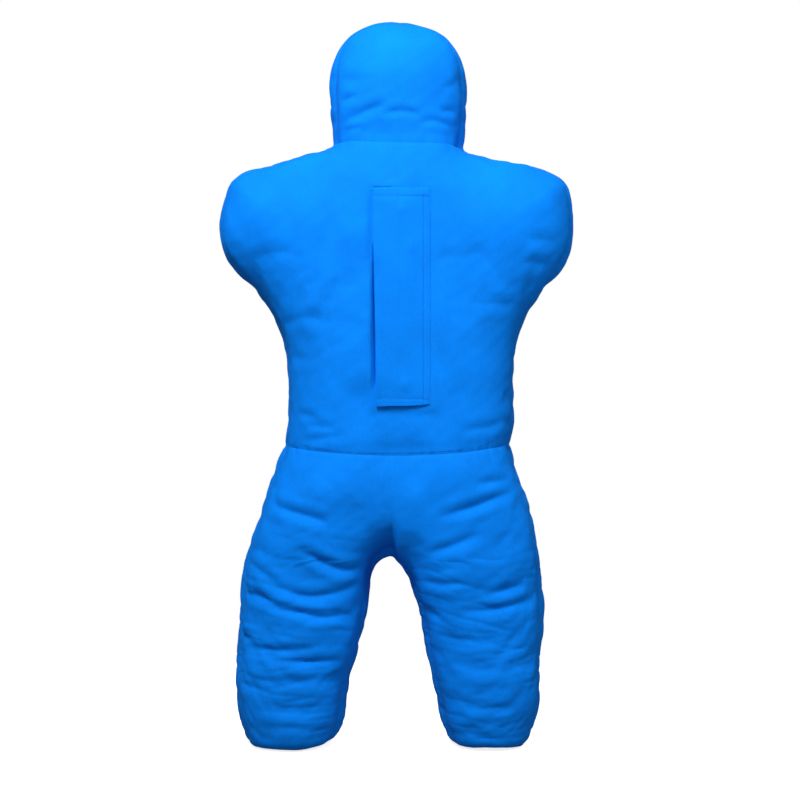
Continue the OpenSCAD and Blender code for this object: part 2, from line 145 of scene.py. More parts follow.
class DummySizes(bpy.types.PropertyGroup):
    gusset: bpy.props.FloatProperty(
        name="Side strip", description="Width of the side strips between the panels",
        default=0.070, min=0.058, max=0.084, subtype="DISTANCE", unit="LENGTH")
    cloth: bpy.props.FloatProperty(
        name="Cloth", description="Thickness of the canvas with its lining",
        default=0.0016, min=0.001, max=0.003, subtype="DISTANCE", unit="LENGTH")
    slit: bpy.props.FloatProperty(
        name="Zip slit", description="Width of the slit in the back that the zip closes",
        default=0.014, min=0.013, max=0.020, subtype="DISTANCE", unit="LENGTH")
    stitch_pitch: bpy.props.FloatProperty(
        name="Stitch pitch", description="Distance between neighbouring stitches",
        default=0.0042, min=0.003, max=0.006, subtype="DISTANCE", unit="LENGTH")
    thread: bpy.props.FloatProperty(
        name="Thread", description="Thickness of the sewing thread",
        default=0.0009, min=0.0004, max=0.0015, subtype="DISTANCE", unit="LENGTH")
    seam_allowance: bpy.props.FloatProperty(
        name="Topstitch", description="Distance of the topstitching from a seam",
        default=0.004, min=0.002, max=0.01, subtype="DISTANCE", unit="LENGTH")


class DummyColours(bpy.types.PropertyGroup):
    canvas: bpy.props.FloatVectorProperty(
        name="Canvas", description="Dyed colour of the canvas", size=4, subtype="COLOR",
        default=srgb("#007ae6"), min=0, max=1)
    thread: bpy.props.FloatVectorProperty(
        name="Thread", description="Colour of the sewing thread", size=4, subtype="COLOR",
        default=srgb("#0457ad"), min=0, max=1)
    tape: bpy.props.FloatVectorProperty(
        name="Zip tape", description="Colour of the woven zip tape", size=4, subtype="COLOR",
        default=srgb("#123a78"), min=0, max=1)


# ---------------------------------------------------------------- shapes in numbers

def curve_through(points, count):
    """Points at equal steps along a smooth curve through given points."""
    p = np.array(points, float)
    p = np.vstack([2 * p[0] - p[1], p, 2 * p[-1] - p[-2]])
    t = np.linspace(0, 1, 12, endpoint=False)[:, None]
    parts = []
    for a, b, c, d in zip(p, p[1:], p[2:], p[3:]):
        parts.append(0.5 * (2 * b + (c - a) * t + (2 * a - 5 * b + 4 * c - d) * t ** 2
                            + (3 * b - a - 3 * c + d) * t ** 3))
    dense = np.vstack(parts + [p[-2:-1]])
    return resampled(dense, count)


def resampled(line, count):
    """The same line with count + 1 points at equal steps."""
    run = np.concatenate([[0], np.cumsum(np.linalg.norm(np.diff(line, axis=0), axis=1))])
    at = np.linspace(0, run[-1], count + 1)
    return np.stack([np.interp(at, run, line[:, k]) for k in range(line.shape[1])], axis=1)


def shifted(line, distance):
    """A line moved sideways, to its left for a positive distance."""
    run = np.gradient(line, axis=0)
    run /= np.linalg.norm(run, axis=1)[:, None]
    return line + distance * np.stack([-run[:, 1], run[:, 0]], axis=1)


def by_height(table, z):
    """Metres from a table of (height, value) in millimetres."""
    heights, values = zip(*table)
    return np.interp(z, np.array(heights) * MM, np.array(values) * MM)


def smooth(t):
    """An even rise from 0 to 1, flat at both ends."""
    t = np.clip(t, 0, 1)
    return t * t * (3 - 2 * t)


def line_distance(line, x, z):
    """Distance to a line and how far along it, for points across and up, and the line's length."""
    best = np.full(x.shape, 1e9)
    along = np.zeros(x.shape)
    run = 0.0
    for a, b in zip(line[:-1], line[1:]):
        step = b - a
        length = math.hypot(*step)
        if length < 1e-9:
            continue
        t = np.clip(((x - a[0]) * step[0] + (z - a[1]) * step[1]) / length ** 2, 0, 1)
        dx, dz = x - (a[0] + t * step[0]), z - (a[1] + t * step[1])
        d = np.hypot(dx, dz)
        near = d < best
        best = np.where(near, d, best)
        along = np.where(near, run + t * length, along)
        run += length
    return best, along, run


# ---------------------------------------------------------------- the sewn cover

class Pattern:
    """The seam lines and outlines of the cover, in metres."""

    def __init__(self, gusset):
        self.half = gusset / 2
        head = np.vstack([np.array(HEAD_LEFT, float), np.array(HEAD_RIGHT, float)[-2::-1]])
        lines = {"torso_right": (TORSO_RIGHT, TORSO_ROWS), "torso_left": (TORSO_LEFT, TORSO_ROWS),
                 "outer_right": (OUTER_RIGHT, SEAT_ROWS + LEG_ROWS),
                 "outer_left": (OUTER_LEFT, SEAT_ROWS + LEG_ROWS),
                 "inner_right": (INNER_RIGHT, LEG_ROWS), "inner_left": (INNER_LEFT, LEG_ROWS),
                 "head": (head, 2 * HEAD_ROWS + HEAD_CELLS)}
        self.edge, self.seam = {}, {}
        for name, (points, count) in lines.items():
            self.edge[name] = curve_through(points, count) * MM
            self.seam[name] = shifted(self.edge[name], INWARDS[name] * SEAM_INSET * MM)
        # Lines that meet at the waist, the crotch or the neck meet in one point.
        for side in ("right", "left"):
            self.seam["outer_" + side][0] = self.seam["torso_" + side][0]
            self.seam["inner_" + side][0] = np.array([CROTCH[0], CROTCH[1] + SEAM_INSET]) * MM
        for k, side in ((0, "left"), (-1, "right")):
            self.seam["head"][k] = self.seam["torso_" + side][-1]

    def depth(self, x, z, lines):
        """Half-depth of the stuffed panel at points across and up."""
        near = np.min([line_distance(self.seam[n], x, z)[0] for n in lines], axis=0)
        e = np.clip(near / by_height(ROUNDING, z), 0, 1)
        bulge = (1 - (1 - e) ** EDGE_POWER) ** (1 / EDGE_POWER)
        return self.half + (by_height(DEPTH, z) - self.half) * bulge


def spread(cells):
    """Shares from 0 to 1, closer together at both ends, where the panel rounds over."""
    s = np.linspace(0, 1, cells + 1)
    return s - 0.45 * np.sin(2 * math.pi * s) / (2 * math.pi)


def bowed(middle_lift, v):
    """Lift across the body, in metres: all of it in the middle and none where v is 1."""
    return middle_lift * MM * (1 - v ** 2)


def torso_panel(pattern, front):
    """Grid of points over the torso's back or front panel, from the waist seam to the neck seam."""
    left, right = pattern.seam["torso_left"], pattern.seam["torso_right"]
    s = spread(PANEL_CELLS)[None, :]
    v = np.abs(2 * s - 1)
    rows = np.arange(TORSO_ROWS + 1)[:, None]
    x = left[:, :1] + (right[:, :1] - left[:, :1]) * s
    z = left[:, 1:] + (right[:, 1:] - left[:, 1:]) * s
    waist_rows, neck_rows = 14, 12
    z = (z + bowed(-WAIST_SAG, v) * (1 - smooth(rows / waist_rows))
         + bowed(NECK_RISE, v) * smooth((rows - TORSO_ROWS + neck_rows) / neck_rows))
    y = pattern.depth(x, z, ["torso_left", "torso_right"])
    return np.stack([x, y if front else -y, z], axis=2)


def trouser_panel(pattern, side, front):
    """Grid over one half of a trouser panel, from the waist seam to the leg end."""
    outer, inner = pattern.seam["outer_" + side], pattern.seam["inner_" + side]
    waist_l, waist_r = pattern.seam["torso_left"][0], pattern.seam["torso_right"][0]
    top = np.array([(waist_l[0] + waist_r[0]) / 2, (waist_l[1] + waist_r[1]) / 2 - WAIST_SAG * MM])
    middle = np.linspace(top, inner[0], SEAT_ROWS + 1)
    inside = np.vstack([middle, inner[1:]])
    v = np.abs(2 * spread(PANEL_CELLS)[PANEL_CELLS // 2:] - 1)[None, :]
    x = inside[:, :1] + (outer[:, :1] - inside[:, :1]) * v
    z = inside[:, 1:] + (outer[:, 1:] - inside[:, 1:]) * v ** 2
    y = pattern.depth(x, z, ["outer_left", "outer_right", "inner_left", "inner_right"])
    return np.stack([x, y if front else -y, z], axis=2)


def strip(pattern, name, start=0):
    """Grid over a side strip, bulging from its two seams out to the outline."""
    t = np.linspace(-1, 1, STRIP_CELLS + 1)[None, :]
    seam, edge = pattern.seam[name][start:], pattern.edge[name][start:]
    share = 1 - t ** 2
    x = seam[:, :1] + (edge[:, :1] - seam[:, :1]) * share
    z = seam[:, 1:] + (edge[:, 1:] - seam[:, 1:]) * share
    y = np.broadcast_to(t * pattern.half, x.shape)
    return np.stack([x, y, z], axis=2)


def head_panel(pattern, front):
    """Grid over the head's back or front panel, drawn in from its four edges."""
    seam = pattern.seam["head"]
    left, right = seam[:HEAD_ROWS + 1], seam[:-HEAD_ROWS - 2:-1]
    top = seam[HEAD_ROWS:HEAD_ROWS + HEAD_CELLS + 1]
    s = np.linspace(0, 1, HEAD_CELLS + 1)
    v = np.abs(2 * s - 1)
    bottom = np.stack([left[0, 0] + (right[0, 0] - left[0, 0]) * s,
                       left[0, 1] + (right[0, 1] - left[0, 1]) * s + bowed(NECK_RISE, v)], axis=1)
    t = np.linspace(0, 1, HEAD_ROWS + 1)[:, None, None]
    u = s[None, :, None]
    corners = ((1 - u) * (1 - t) * bottom[0] + u * (1 - t) * bottom[-1]
               + (1 - u) * t * top[0] + u * t * top[-1])
    flat = ((1 - t) * bottom[None] + t * top[None] + (1 - u) * left[:, None]
            + u * right[:, None] - corners)
    y = pattern.depth(flat[..., 0], flat[..., 1], ["head"])
    return np.stack([flat[..., 0], y if front else -y, flat[..., 1]], axis=2)


def sole(back, front, outer, inner):
    """Rings that close a leg end, from its rim down to a flat round bottom."""
    rim = np.vstack([back[-1][::-1][:-1], inner[-1][:-1], front[-1][:-1], outer[-1][::-1][:-1]])
    centre = rim.mean(axis=0)
    smallest, rounding_ends, dish = 0.004, 1 / 2.4, 0.0008
    rings = []
    for k in range(SOLE_RINGS + 1):
        a = k / SOLE_RINGS
        size = 1 - a ** 1.6
        low = rim[:, 2:] * (1 - math.sin(min(1, a / rounding_ends) * math.pi / 2)) + dish * a
        flat = centre[:2] + (rim[:, :2] - centre[:2]) * max(size, smallest)
        rings.append(np.hstack([flat, low]))
    grid = np.stack(rings)
    return np.concatenate([grid, grid[:, :1]], axis=1)


def cover_grids(pattern):
    """Every grid of the cover with the name of its region."""
    grids = {"torso_back": torso_panel(pattern, False), "torso_front": torso_panel(pattern, True)}
    for side in ("left", "right"):
        grids["torso_strip_" + side] = strip(pattern, "torso_" + side)
        grids["outer_strip_" + side] = strip(pattern, "outer_" + side)
        grids["inner_strip_" + side] = strip(pattern, "inner_" + side)
        for face in ("back", "front"):
            grids[f"trouser_{face}_{side}"] = trouser_panel(pattern, side, face == "front")
        grids["sole_" + side] = sole(
            grids["trouser_back_" + side], grids["trouser_front_" + side],
            grids["outer_strip_" + side], grids["inner_strip_" + side])
    grids["head_back"] = head_panel(pattern, False)
    grids["head_front"] = head_panel(pattern, True)
    grids["head_strip"] = strip(pattern, "head")
    return grids


def cloth_lengths(grid):
    """Distances along the cloth in both directions of a grid, for its thread pattern."""
    across = np.linalg.norm(np.diff(grid, axis=1), axis=2).cumsum(axis=1)
    across = np.hstack([np.zeros((len(grid), 1)), across])
    across -= across[:, -1:] / 2
    middle = grid[:, grid.shape[1] // 2]
    up = np.concatenate([[0], np.linalg.norm(np.diff(middle, axis=0), axis=1).cumsum()])
    return np.stack([across, np.broadcast_to(up[:, None], across.shape)], axis=2)


def mesh_of_grids(name, grids):
    """One mesh of all grids, welded where they meet. A face's material index is its region."""
    points, faces, regions, lengths = [], [], [], []
    for region, grid in grids.items():
        m, n = grid.shape[:2]
        start = len(points)
        points.extend(grid.reshape(-1, 3))
        uv = cloth_lengths(grid).reshape(-1, 2)
        for i in range(m - 1):
            for j in range(n - 1):
                a = i * n + j
                corner = (a, a + 1, a + n + 1, a + n)
                faces.append([start + c for c in corner])
                lengths.append([uv[c] for c in corner])
                regions.append(REGIONS.index(region))
    mesh = bpy.data.meshes.new(name)
    mesh.from_pydata([tuple(p) for p in points], [], faces)
    layer = mesh.uv_layers.new(name="cloth")
    layer.data.foreach_set("uv", np.array(lengths).ravel())
    mesh.polygons.foreach_set("material_index", regions)
    work = bmesh.new()
    work.from_mesh(mesh)
    bmesh.ops.remove_doubles(work, verts=work.verts, dist=0.00005)
    bmesh.ops.recalc_face_normals(work, faces=work.faces)
    work.to_mesh(mesh)
    work.free()
    obj = bpy.data.objects.new(name, mesh)
    bpy.context.collection.objects.link(obj)
    return obj


def apply_modifier(obj, kind, **settings):
    """Adds a modifier with its settings and applies it."""
    modifier = obj.modifiers.new(kind.title(), kind)
    for key, value in settings.items():
        setattr(modifier, key, value)
    with bpy.context.temp_override(object=obj, active_object=obj, selected_objects=[obj]):
        bpy.ops.object.modifier_apply(modifier=modifier.name)


def mesh_arrays(mesh):
    """A mesh's points and their normals."""
    co = np.empty(len(mesh.vertices) * 3)
    mesh.vertices.foreach_get("co", co)
    normals = np.empty(len(mesh.vertices) * 3)
    mesh.vertex_normals.foreach_get("vector", normals)
    return co.reshape(-1, 3), normals.reshape(-1, 3)


# ---------------------------------------------------------------- stuffing

def seam_points(mesh):
    """The points where cloths are sewn together along the body, and those across it."""
    cloths = [name.rsplit("_", 1)[0] if name.startswith("trouser") else name for name in REGIONS]
    cloth_of = np.array([cloths.index(c) for c in cloths])
    regions = np.empty(len(mesh.polygons), int)
    mesh.polygons.foreach_get("material_index", regions)
    corners = np.empty(len(mesh.loops), int)
    mesh.loops.foreach_get("vertex_index", corners)
    sides = np.empty(len(mesh.polygons), int)
    mesh.polygons.foreach_get("loop_total", sides)
    cloth = np.repeat(cloth_of[regions], sides)
    low = np.full(len(mesh.vertices), 99)
    high = np.full(len(mesh.vertices), -1)
    np.minimum.at(low, corners, cloth)
    np.maximum.at(high, corners, cloth)
    sewn = low != high
    crosswise = (low < cloths.index("trouser_back")) & (high >= cloths.index("trouser_back"))
    return np.where(sewn & ~crosswise)[0], np.where(sewn & crosswise)[0]


def averaged(mesh, values, rounds):
    """Values at the points, averaged with their neighbours a number of times."""
    edges = np.empty(len(mesh.edges) * 2, int)
    mesh.edges.foreach_get("vertices", edges)
    a, b = edges.reshape(-1, 2).T
    count = len(values)
    near = np.bincount(a, minlength=count) + np.bincount(b, minlength=count)
    for _ in range(rounds):
        total = [np.bincount(a, values[b, k], count) + np.bincount(b, values[a, k], count)
                 for k in range(3)]
        values = 0.5 * values + 0.5 * np.stack(total, axis=1) / near[:, None]
    return values


def stuff(cover, pattern):
    """Swells the cover with pressure against its tighter seams, and keeps the wrinkles it gets."""
    drafted, _ = mesh_arrays(cover.data)
    seams = cover.vertex_groups.new(name="seams")
    lengthwise, crosswise = seam_points(cover.data)
    seams.add(lengthwise.tolist(), 1.0, "REPLACE")
    seams.add(crosswise.tolist(), 0.3, "REPLACE")
    held = cover.vertex_groups.new(name="held")
    held.add(list(range(len(drafted))), 0.1, "REPLACE")
    cut = drafted.copy()
    cut[:, 2] -= LEG_SPARE * np.clip(LEG_TOP - drafted[:, 2], 0, None)
    cover.shape_key_add(name="standing")
    key = cover.shape_key_add(name="cut")
    key.data.foreach_set("co", cut.ravel())
    cloth = cover.modifiers.new("Cloth", "CLOTH")
    for name, value in {**STUFFED_CLOTH, "rest_shape_key": key}.items():
        setattr(cloth.settings, name, value)
    cloth.settings.effector_weights.gravity = 0
    cloth.point_cache.frame_start, cloth.point_cache.frame_end = 1, STUFFING_FRAMES
    for number in range(1, STUFFING_FRAMES + 1):
        bpy.context.scene.frame_set(number)
    stuffed, _ = mesh_arrays(cover.evaluated_get(bpy.context.evaluated_depsgraph_get()).data)
    cover.modifiers.remove(cloth)
    cover.shape_key_clear()
    cover.vertex_groups.clear()
    bpy.context.scene.frame_set(1)
    moved = stuffed - drafted
    # The drafted shape stays: only what differs from the neighbourhood's move is kept, about half
    # as strong, and next to nothing of it beside the waist and neck seams.
    wrinkles = moved - averaged(cover.data, moved, 90)
    x, _, z = drafted.T
    share = 0.55 - 0.1 * smooth((0.42 - z) / 0.10)
    for line in (waist_line(pattern), neck_line(pattern)):
        share *= 1 - 0.9 * np.exp(-(line_distance(line, x, z)[0] / 0.014) ** 2)
    wrinkles *= share[:, None]
    size = np.linalg.norm(wrinkles, axis=1)[:, None] + 1e-9
    cap = WRINKLE_CAP * MM
    placed = drafted + wrinkles * np.tanh(size / cap) * cap / size
    placed[:, 2] = np.maximum(placed[:, 2], LOWEST)
    cover.data.vertices.foreach_set("co", placed.ravel())
    cover.data.update()


# ---------------------------------------------------------------- folds, puckers and dents

# Folds on the back, pressed in by hand handling: (points across and up, depth, width), in
# millimetres. A fold is a valley with a soft ridge on both sides.
BACK_FOLDS = [
    # head
    ([(-93, 1053), (-67, 1062)], 2.2, 6), ([(-92, 1019), (-44, 1038), (-14, 1046)], 3.2, 8),
    ([(-30, 1030), (8, 1034), (38, 1028)], 2.4, 6), ([(-88, 1006), (-58, 1011)], 2, 5),
    ([(96, 1040), (66, 1034)], 1.8, 6), ([(92, 1012), (60, 1020), (34, 1016)], 2, 6),
    ([(-100, 1092), (-70, 1086), (-44, 1090)], 1.2, 9), ([(98, 1080), (70, 1074)], 1.2, 8),
    # torso
    ([(-162, 549), (-126, 541)], 2, 7), ([(-146, 529), (-98, 525)], 2.2, 7),
    ([(-156, 504), (-84, 514)], 2, 7), ([(202, 828), (256, 826)], 1.4, 9),
    ([(-20, 911), (-2, 910)], 3, 3),
    ([(118, 724), (200, 724)], 1.4, 9), ([(-250, 790), (-200, 806), (-150, 800)], 1.6, 11),
    ([(-196, 688), (-150, 702), (-104, 692)], 1.4, 10), ([(246, 788), (196, 792)], 1.4, 9),
    ([(96, 520), (150, 528), (180, 540)], 1.8, 8), ([(-178, 640), (-140, 636)], 1.2, 9),
    # seat and left leg
    ([(-204, 401), (-178, 393), (-137, 382), (-110, 372)], 4.4, 8),
    ([(-162, 330), (-137, 320), (-115, 306), (-85, 296), (-52, 299)], 5, 8),
    ([(-242, 310), (-222, 295), (-192, 277)], 2.6, 7),
    ([(-215, 278), (-184, 266), (-145, 254), (-94, 261), (-62, 276)], 4, 8),
    ([(-249, 256), (-225, 254), (-202, 244), (-189, 236)], 4.4, 7),
    ([(-215, 238), (-157, 229), (-124, 221), (-69, 224)], 4.2, 7),
    ([(-260, 190), (-240, 181)], 3, 7), ([(-249, 172), (-202, 166), (-135, 169)], 4.6, 8),
    ([(-214, 152), (-157, 149), (-90, 149)], 4.2, 7), ([(-260, 126), (-225, 119), (-100, 117)], 2, 8),
    ([(-256, 112), (-202, 99)], 1.8, 7), ([(-240, 72), (-170, 66), (-110, 70)], 1.8, 9),
    ([(-210, 44), (-140, 40)], 2, 8),
    # seat and right leg
    ([(122, 436), (179, 440)], 2.4, 7), ([(65, 381), (98, 392), (135, 404), (186, 424)], 4.4, 8),
    ([(43, 322), (89, 337), (135, 359)], 3.6, 8), ([(42, 278), (70, 274), (103, 278)], 3, 7),
    ([(137, 254), (160, 262), (204, 274)], 4, 8), ([(102, 231), (149, 234), (217, 248)], 4, 8),
    ([(37, 231), (55, 223), (69, 217)], 3, 6), ([(60, 190), (120, 184), (190, 192)], 2, 9),
    ([(102, 74), (190, 74)], 2, 8), ([(90, 142), (150, 136), (214, 146)], 1.6, 9),
    ([(96, 30), (150, 28)], 1.8, 8),
]

FRONT_FOLDS = [
    ([(-14, 372), (-14, 340), (-13, 308)], 5, 7),
    ([(-210, 392), (-150, 376), (-90, 352), (-40, 326)], 4.2, 9),
    ([(200, 396), (140, 378), (80, 354), (22, 326)], 4.2, 9),
    ([(-250, 330), (-190, 316), (-120, 300)], 3.4, 9), ([(228, 334), (170, 318), (100, 298)], 3.4, 9),
    ([(-256, 252), (-180, 240), (-80, 252)], 3, 9), ([(236, 232), (160, 222), (60, 236)], 3, 9),
    ([(-250, 160), (-160, 148), (-90, 156)], 2.6, 9), ([(226, 150), (140, 142), (70, 150)], 2.6, 9),
    ([(-160, 560), (-60, 548), (40, 552)], 2.6, 10), ([(170, 548), (90, 538), (30, 540)], 2.4, 9),
    ([(-250, 800), (-170, 820), (-90, 816)], 2, 12), ([(250, 800), (170, 818), (100, 812)], 2, 12),
    ([(-90, 1016), (-30, 1026), (40, 1020)], 2.4, 7), ([(90, 1044), (40, 1036)], 2, 7),
]

# Soft swells and hollows on the back: (across, up, reach across, reach up, height), in millimetres
SWELLS = [
    (-150, 860, 90, 80, 4), (160, 850, 90, 80, 4), (-110, 640, 60, 80, 3), (120, 640, 60, 90, 3),
    (-120, 425, 80, 40, 4), (110, 440, 80, 40, 4), (-170, 345, 60, 30, 4), (150, 300, 60, 32, 3),
    (-160, 200, 70, 20, 3), (-190, 130, 60, 22, 3), (150, 110, 60, 40, 3), (150, 200, 60, 28, 3),
    (0, 1110, 70, 50, 3), (-230, 900, 40, 40, 3), (230, 900, 40, 40, 2),
    (-42, 296, 16, 40, -6),
]


def fold_height(line, depth, width, x, z):
    """A sharp valley along a line, dying out at both ends, between two soft ridges."""
    d, along, total = line_distance(line, x, z)
    taper = np.sin(np.clip(along / total, 0, 1) * math.pi) ** 0.7
    valley = -0.55 * np.exp(-(d / (0.75 * width)) ** 2) - 0.45 * np.exp(-d / (0.8 * width))
    ridge = 0.5 * np.exp(-((d - 2.0 * width) / (1.1 * width)) ** 2)
    return depth * (valley + ridge) * taper


def folded_height(folds, x, z):
    """All folds of a list, each worked out only near its line."""
    reach = 0.05
    height = np.zeros(x.shape)
    for points, depth, width in folds:
        line = (curve_through(points, 14) if len(points) > 2 else np.array(points, float)) * MM
        near = ((x > line[:, 0].min() - reach) & (x < line[:, 0].max() + reach)
                & (z > line[:, 1].min() - reach) & (z < line[:, 1].max() + reach))
        if near.any():
            height[near] += fold_height(line, depth * MM, width * MM, x[near], z[near])
    return height


def pucker_height(rng, line, x, z, surface, pitch, reach, depth, strength):
    """Short gathers that run away from a seam, where the stuffing strains it."""
    d, along, total = line_distance(line, x, z)
    away = np.hypot(d, surface)
    height = np.zeros(x.shape)
    near = away < reach * 1.6
    at = 0.0
    while at < total:
        length = reach * rng.uniform(0.4, 1.5)
        width = pitch * rng.uniform(0.16, 0.28)
        size = depth * rng.uniform(0.25, 1.0) * strength(at / total)
        lean = rng.uniform(-0.25, 0.25)
        offset = (along[near] - at - lean * away[near]) / width
        fade = np.clip(1 - away[near] / length, 0, 1) ** 1.2
        height[near] -= size * np.exp(-offset ** 2) * fade
        at += pitch * rng.uniform(0.7, 1.35)
    return height


def noise_height(rng, points, sizes):
    """Uneven stuffing: sums of soft waves in random directions."""
    height = np.zeros(len(points))
    for size, amount in sizes:
        for _ in range(9):
            direction = rng.normal(size=3)
            direction /= np.linalg.norm(direction)
            wave = 2 * math.pi / (size * rng.uniform(0.7, 1.5))
            height += amount / 3 * np.sin(points @ direction * wave + rng.uniform(0, 2 * math.pi))
    return height


def crinkle_height(rng, x, z, amount):
    """Small sharp creases across the body, broken into short stretches."""
    height = np.zeros(x.shape)
    for pitch in CRINKLE_PITCHES:
        drift = sum(rng.uniform(0.5, 1.3) * np.sin(x * rng.uniform(9, 40) + z * rng.uniform(-12, 12)
                                                   + rng.uniform(0, 6)) for _ in range(4))
        patch = sum(np.sin(x * rng.uniform(15, 55) + z * rng.uniform(20, 90) + rng.uniform(0, 6))
                    for _ in range(4))
        crease = (1 - np.abs(np.sin(math.pi * z / pitch + drift))) ** 2.5
        height -= crease * smooth(patch / 2.2) * pitch * 0.062
    return height * amount


def valley_depth(valley, d):
    """Depth of a valley at a distance from its middle."""
    return sum(depth * np.exp(-(d / width) ** 2) for depth, width in valley)


def seam_height(rng, pattern, x, y, z):
    """Gathers beside every seam, and the valley that its thread pulls."""
    height, valley = np.zeros(x.shape), np.zeros(x.shape)
    # How strongly each seam gathers the cloth, from its start to its end
    strengths = {"torso_right": lambda s: 0.45 + 1.4 * math.exp(-((s - 0.46) / 0.15) ** 2),
                 "torso_left": lambda s: 0.3 + 0.8 * math.exp(-((s - 0.6) / 0.2) ** 2),
                 "outer_right": lambda s: 0.45, "outer_left": lambda s: 0.5,
                 "inner_right": lambda s: 0.5, "inner_left": lambda s: 0.5,
                 "head": lambda s: 0.15 + 0.25 * abs(2 * s - 1) ** 2}
    for name, strength in strengths.items():
        line = pattern.seam[name]
        for face in (-1, 1):
            off_seam = np.abs(y * face - pattern.half)
            height += pucker_height(rng, line, x, z, off_seam, 0.013, 0.026, 0.0021, strength)
            valley += valley_depth(LENGTHWISE_VALLEY, np.hypot(line_distance(line, x, z)[0], off_seam))
    for line, share in ((waist_line(pattern), 1.0), (neck_line(pattern), 0.8)):
        height += pucker_height(rng, line, x, z, np.zeros(x.shape), 0.017, 0.03, 0.0018,
                                lambda s: 0.4 + 0.6 * abs(2 * s - 1))
        valley += share * valley_depth(CROSSWISE_VALLEY, line_distance(line, x, z)[0])
    return height - np.minimum(valley, DEEPEST_VALLEY)


def tuck_height(x, z):
    """The left half of the seat tucks under the right half just above the crotch."""
    past = x + 0.010
    tuck = np.exp(-(past / np.where(past > 0, 0.0055, 0.028)) ** 2)
    return -0.018 * tuck * smooth((0.390 - z) / 0.070) * smooth((z - 0.295) / 0.02)


def shape_cover(obj, pattern):
    """Presses folds, puckers, seam valleys and unevenness into the welded cover."""
    rng = np.random.default_rng(7)
    co, normals = mesh_arrays(obj.data)
    x, y, z = co.T
    behind = smooth((pattern.half * 0.9 - y) / (pattern.half * 1.6))
    height = noise_height(rng, co, UNEVENNESS)
    off_crotch = 1 - np.exp(-((x + 0.013) / 0.06) ** 2 - ((z - 0.33) / 0.06) ** 2)
    height += crinkle_height(rng, x, z, 0.1 + 0.9 * smooth((0.40 - z) / 0.10) * off_crotch)
    height += (folded_height(BACK_FOLDS, x, z) + tuck_height(x, z)) * behind
    height += folded_height(FRONT_FOLDS, x, z) * (1 - behind)
    for cx, cz, rx, rz, size in SWELLS:
        reach = ((x - cx * MM) / (rx * MM)) ** 2 + ((z - cz * MM) / (rz * MM)) ** 2
        height += size * MM * np.exp(-reach) * behind
    height += seam_height(rng, pattern, x, y, z)
    co = co + normals * height[:, None]
    co[:, 2] = np.maximum(co[:, 2], LOWEST)
    flatten_under_flap(co)
    obj.data.vertices.foreach_set("co", co.ravel())
    obj.data.update()


def flatten_under_flap(co):
    """Pulls the back flat where the zip is sewn in, and lets it swell along the flap's open edge."""
    (left, _, low), (right, _, high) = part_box("flap_outer_ply")
    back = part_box("torso_back_panel")[0][1]
    x, y, z = co.T
    behind = y < 0
    across = smooth((x - left + 0.012) / 0.010) * smooth((right + 0.034 - x) / 0.020)
    up = smooth((z - low + 0.016) / 0.016) * smooth((high + 0.016 - z) / 0.016)
    share = across * up * behind
    under_stitches = 0.0008
    co[:, 1] = y * (1 - share) + (back + under_stitches) * share
    # The filling pushes the back out along the flap's open edge, and leaves a dark crevice there.
    past = x - (left - 0.0055)
    swell = np.exp(-(past / np.where(past > 0, 0.0042, 0.026)) ** 2)
    swell *= smooth((z - low - 0.01) / 0.05) * smooth((high - 0.095 - z) / 0.06)
    co[:, 1] -= 0.0062 * swell * behind


def crosswise_line(left, right, lift, count):
    """A seam line across the body, bowed in its middle and 20 mm longer at both ends."""
    s = np.linspace(0, 1, count)
    x = left[0] + (right[0] - left[0]) * s
    z = left[1] + (right[1] - left[1]) * s + bowed(lift, np.abs(2 * s - 1))
    past = 0.02
    return np.vstack([[left[0] - past, left[1]], np.stack([x, z], axis=1), [right[0] + past, right[1]]])


def waist_line(pattern):
    """The waist seam, seen from behind."""
    return crosswise_line(pattern.seam["torso_left"][0], pattern.seam["torso_right"][0], -WAIST_SAG, 25)


def neck_line(pattern):
    """The neck seam, seen from behind."""
    return crosswise_line(pattern.seam["head"][0], pattern.seam["head"][-1], NECK_RISE, 19)


# ---------------------------------------------------------------- pieces

def regions_to_piece(cover, names, piece_name):
    """A new piece from the cover's faces in the named regions."""
    mesh = cover.data
    regions = np.empty(len(mesh.polygons), int)
    mesh.polygons.foreach_get("material_index", regions)
    starts = np.empty(len(mesh.polygons), int)
    mesh.polygons.foreach_get("loop_start", starts)
    corners = np.empty(len(mesh.loops), int)
    mesh.loops.foreach_get("vertex_index", corners)
    uv = np.empty(len(mesh.loops) * 2)
    mesh.uv_layers["cloth"].data.foreach_get("uv", uv)
    uv = uv.reshape(-1, 2)
    wanted = np.isin(regions, [REGIONS.index(n) for n in names])
    loops = (starts[wanted][:, None] + np.arange(4)[None, :])
    used, index = np.unique(corners[loops], return_inverse=True)
    co, _ = mesh_arrays(mesh)
    piece = bpy.data.meshes.new(piece_name)
    piece.from_pydata(co[used].tolist(), [], index.reshape(-1, 4).tolist())
    piece.uv_layers.new(name="cloth").data.foreach_set("uv", uv[loops.ravel()].ravel())
    obj = bpy.data.objects.new(piece_name, piece)
    bpy.context.collection.objects.link(obj)
    return obj


def smooth_by_angle(obj, degrees):
    """Shades a piece smooth, except where its faces meet at more than the angle."""
    bpy.ops.object.select_all(action="DESELECT")
    obj.select_set(True)
    bpy.context.view_layer.objects.active = obj
    bpy.ops.object.shade_smooth_by_angle(angle=math.radians(degrees))


def hip_blend(piece):
    """Bakes a trouser piece's transform into its mesh."""
    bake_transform(piece)


def waist_blend(piece):
    """Bakes the transform of a piece at the waist into its mesh."""
    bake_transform(piece)


def neck_blend(piece):
    """Bakes the transform of a piece at the neck into its mesh."""
    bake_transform(piece)


def flap_blend(piece):
    """Bakes the transform of a piece on the flap into its mesh."""
    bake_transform(piece)


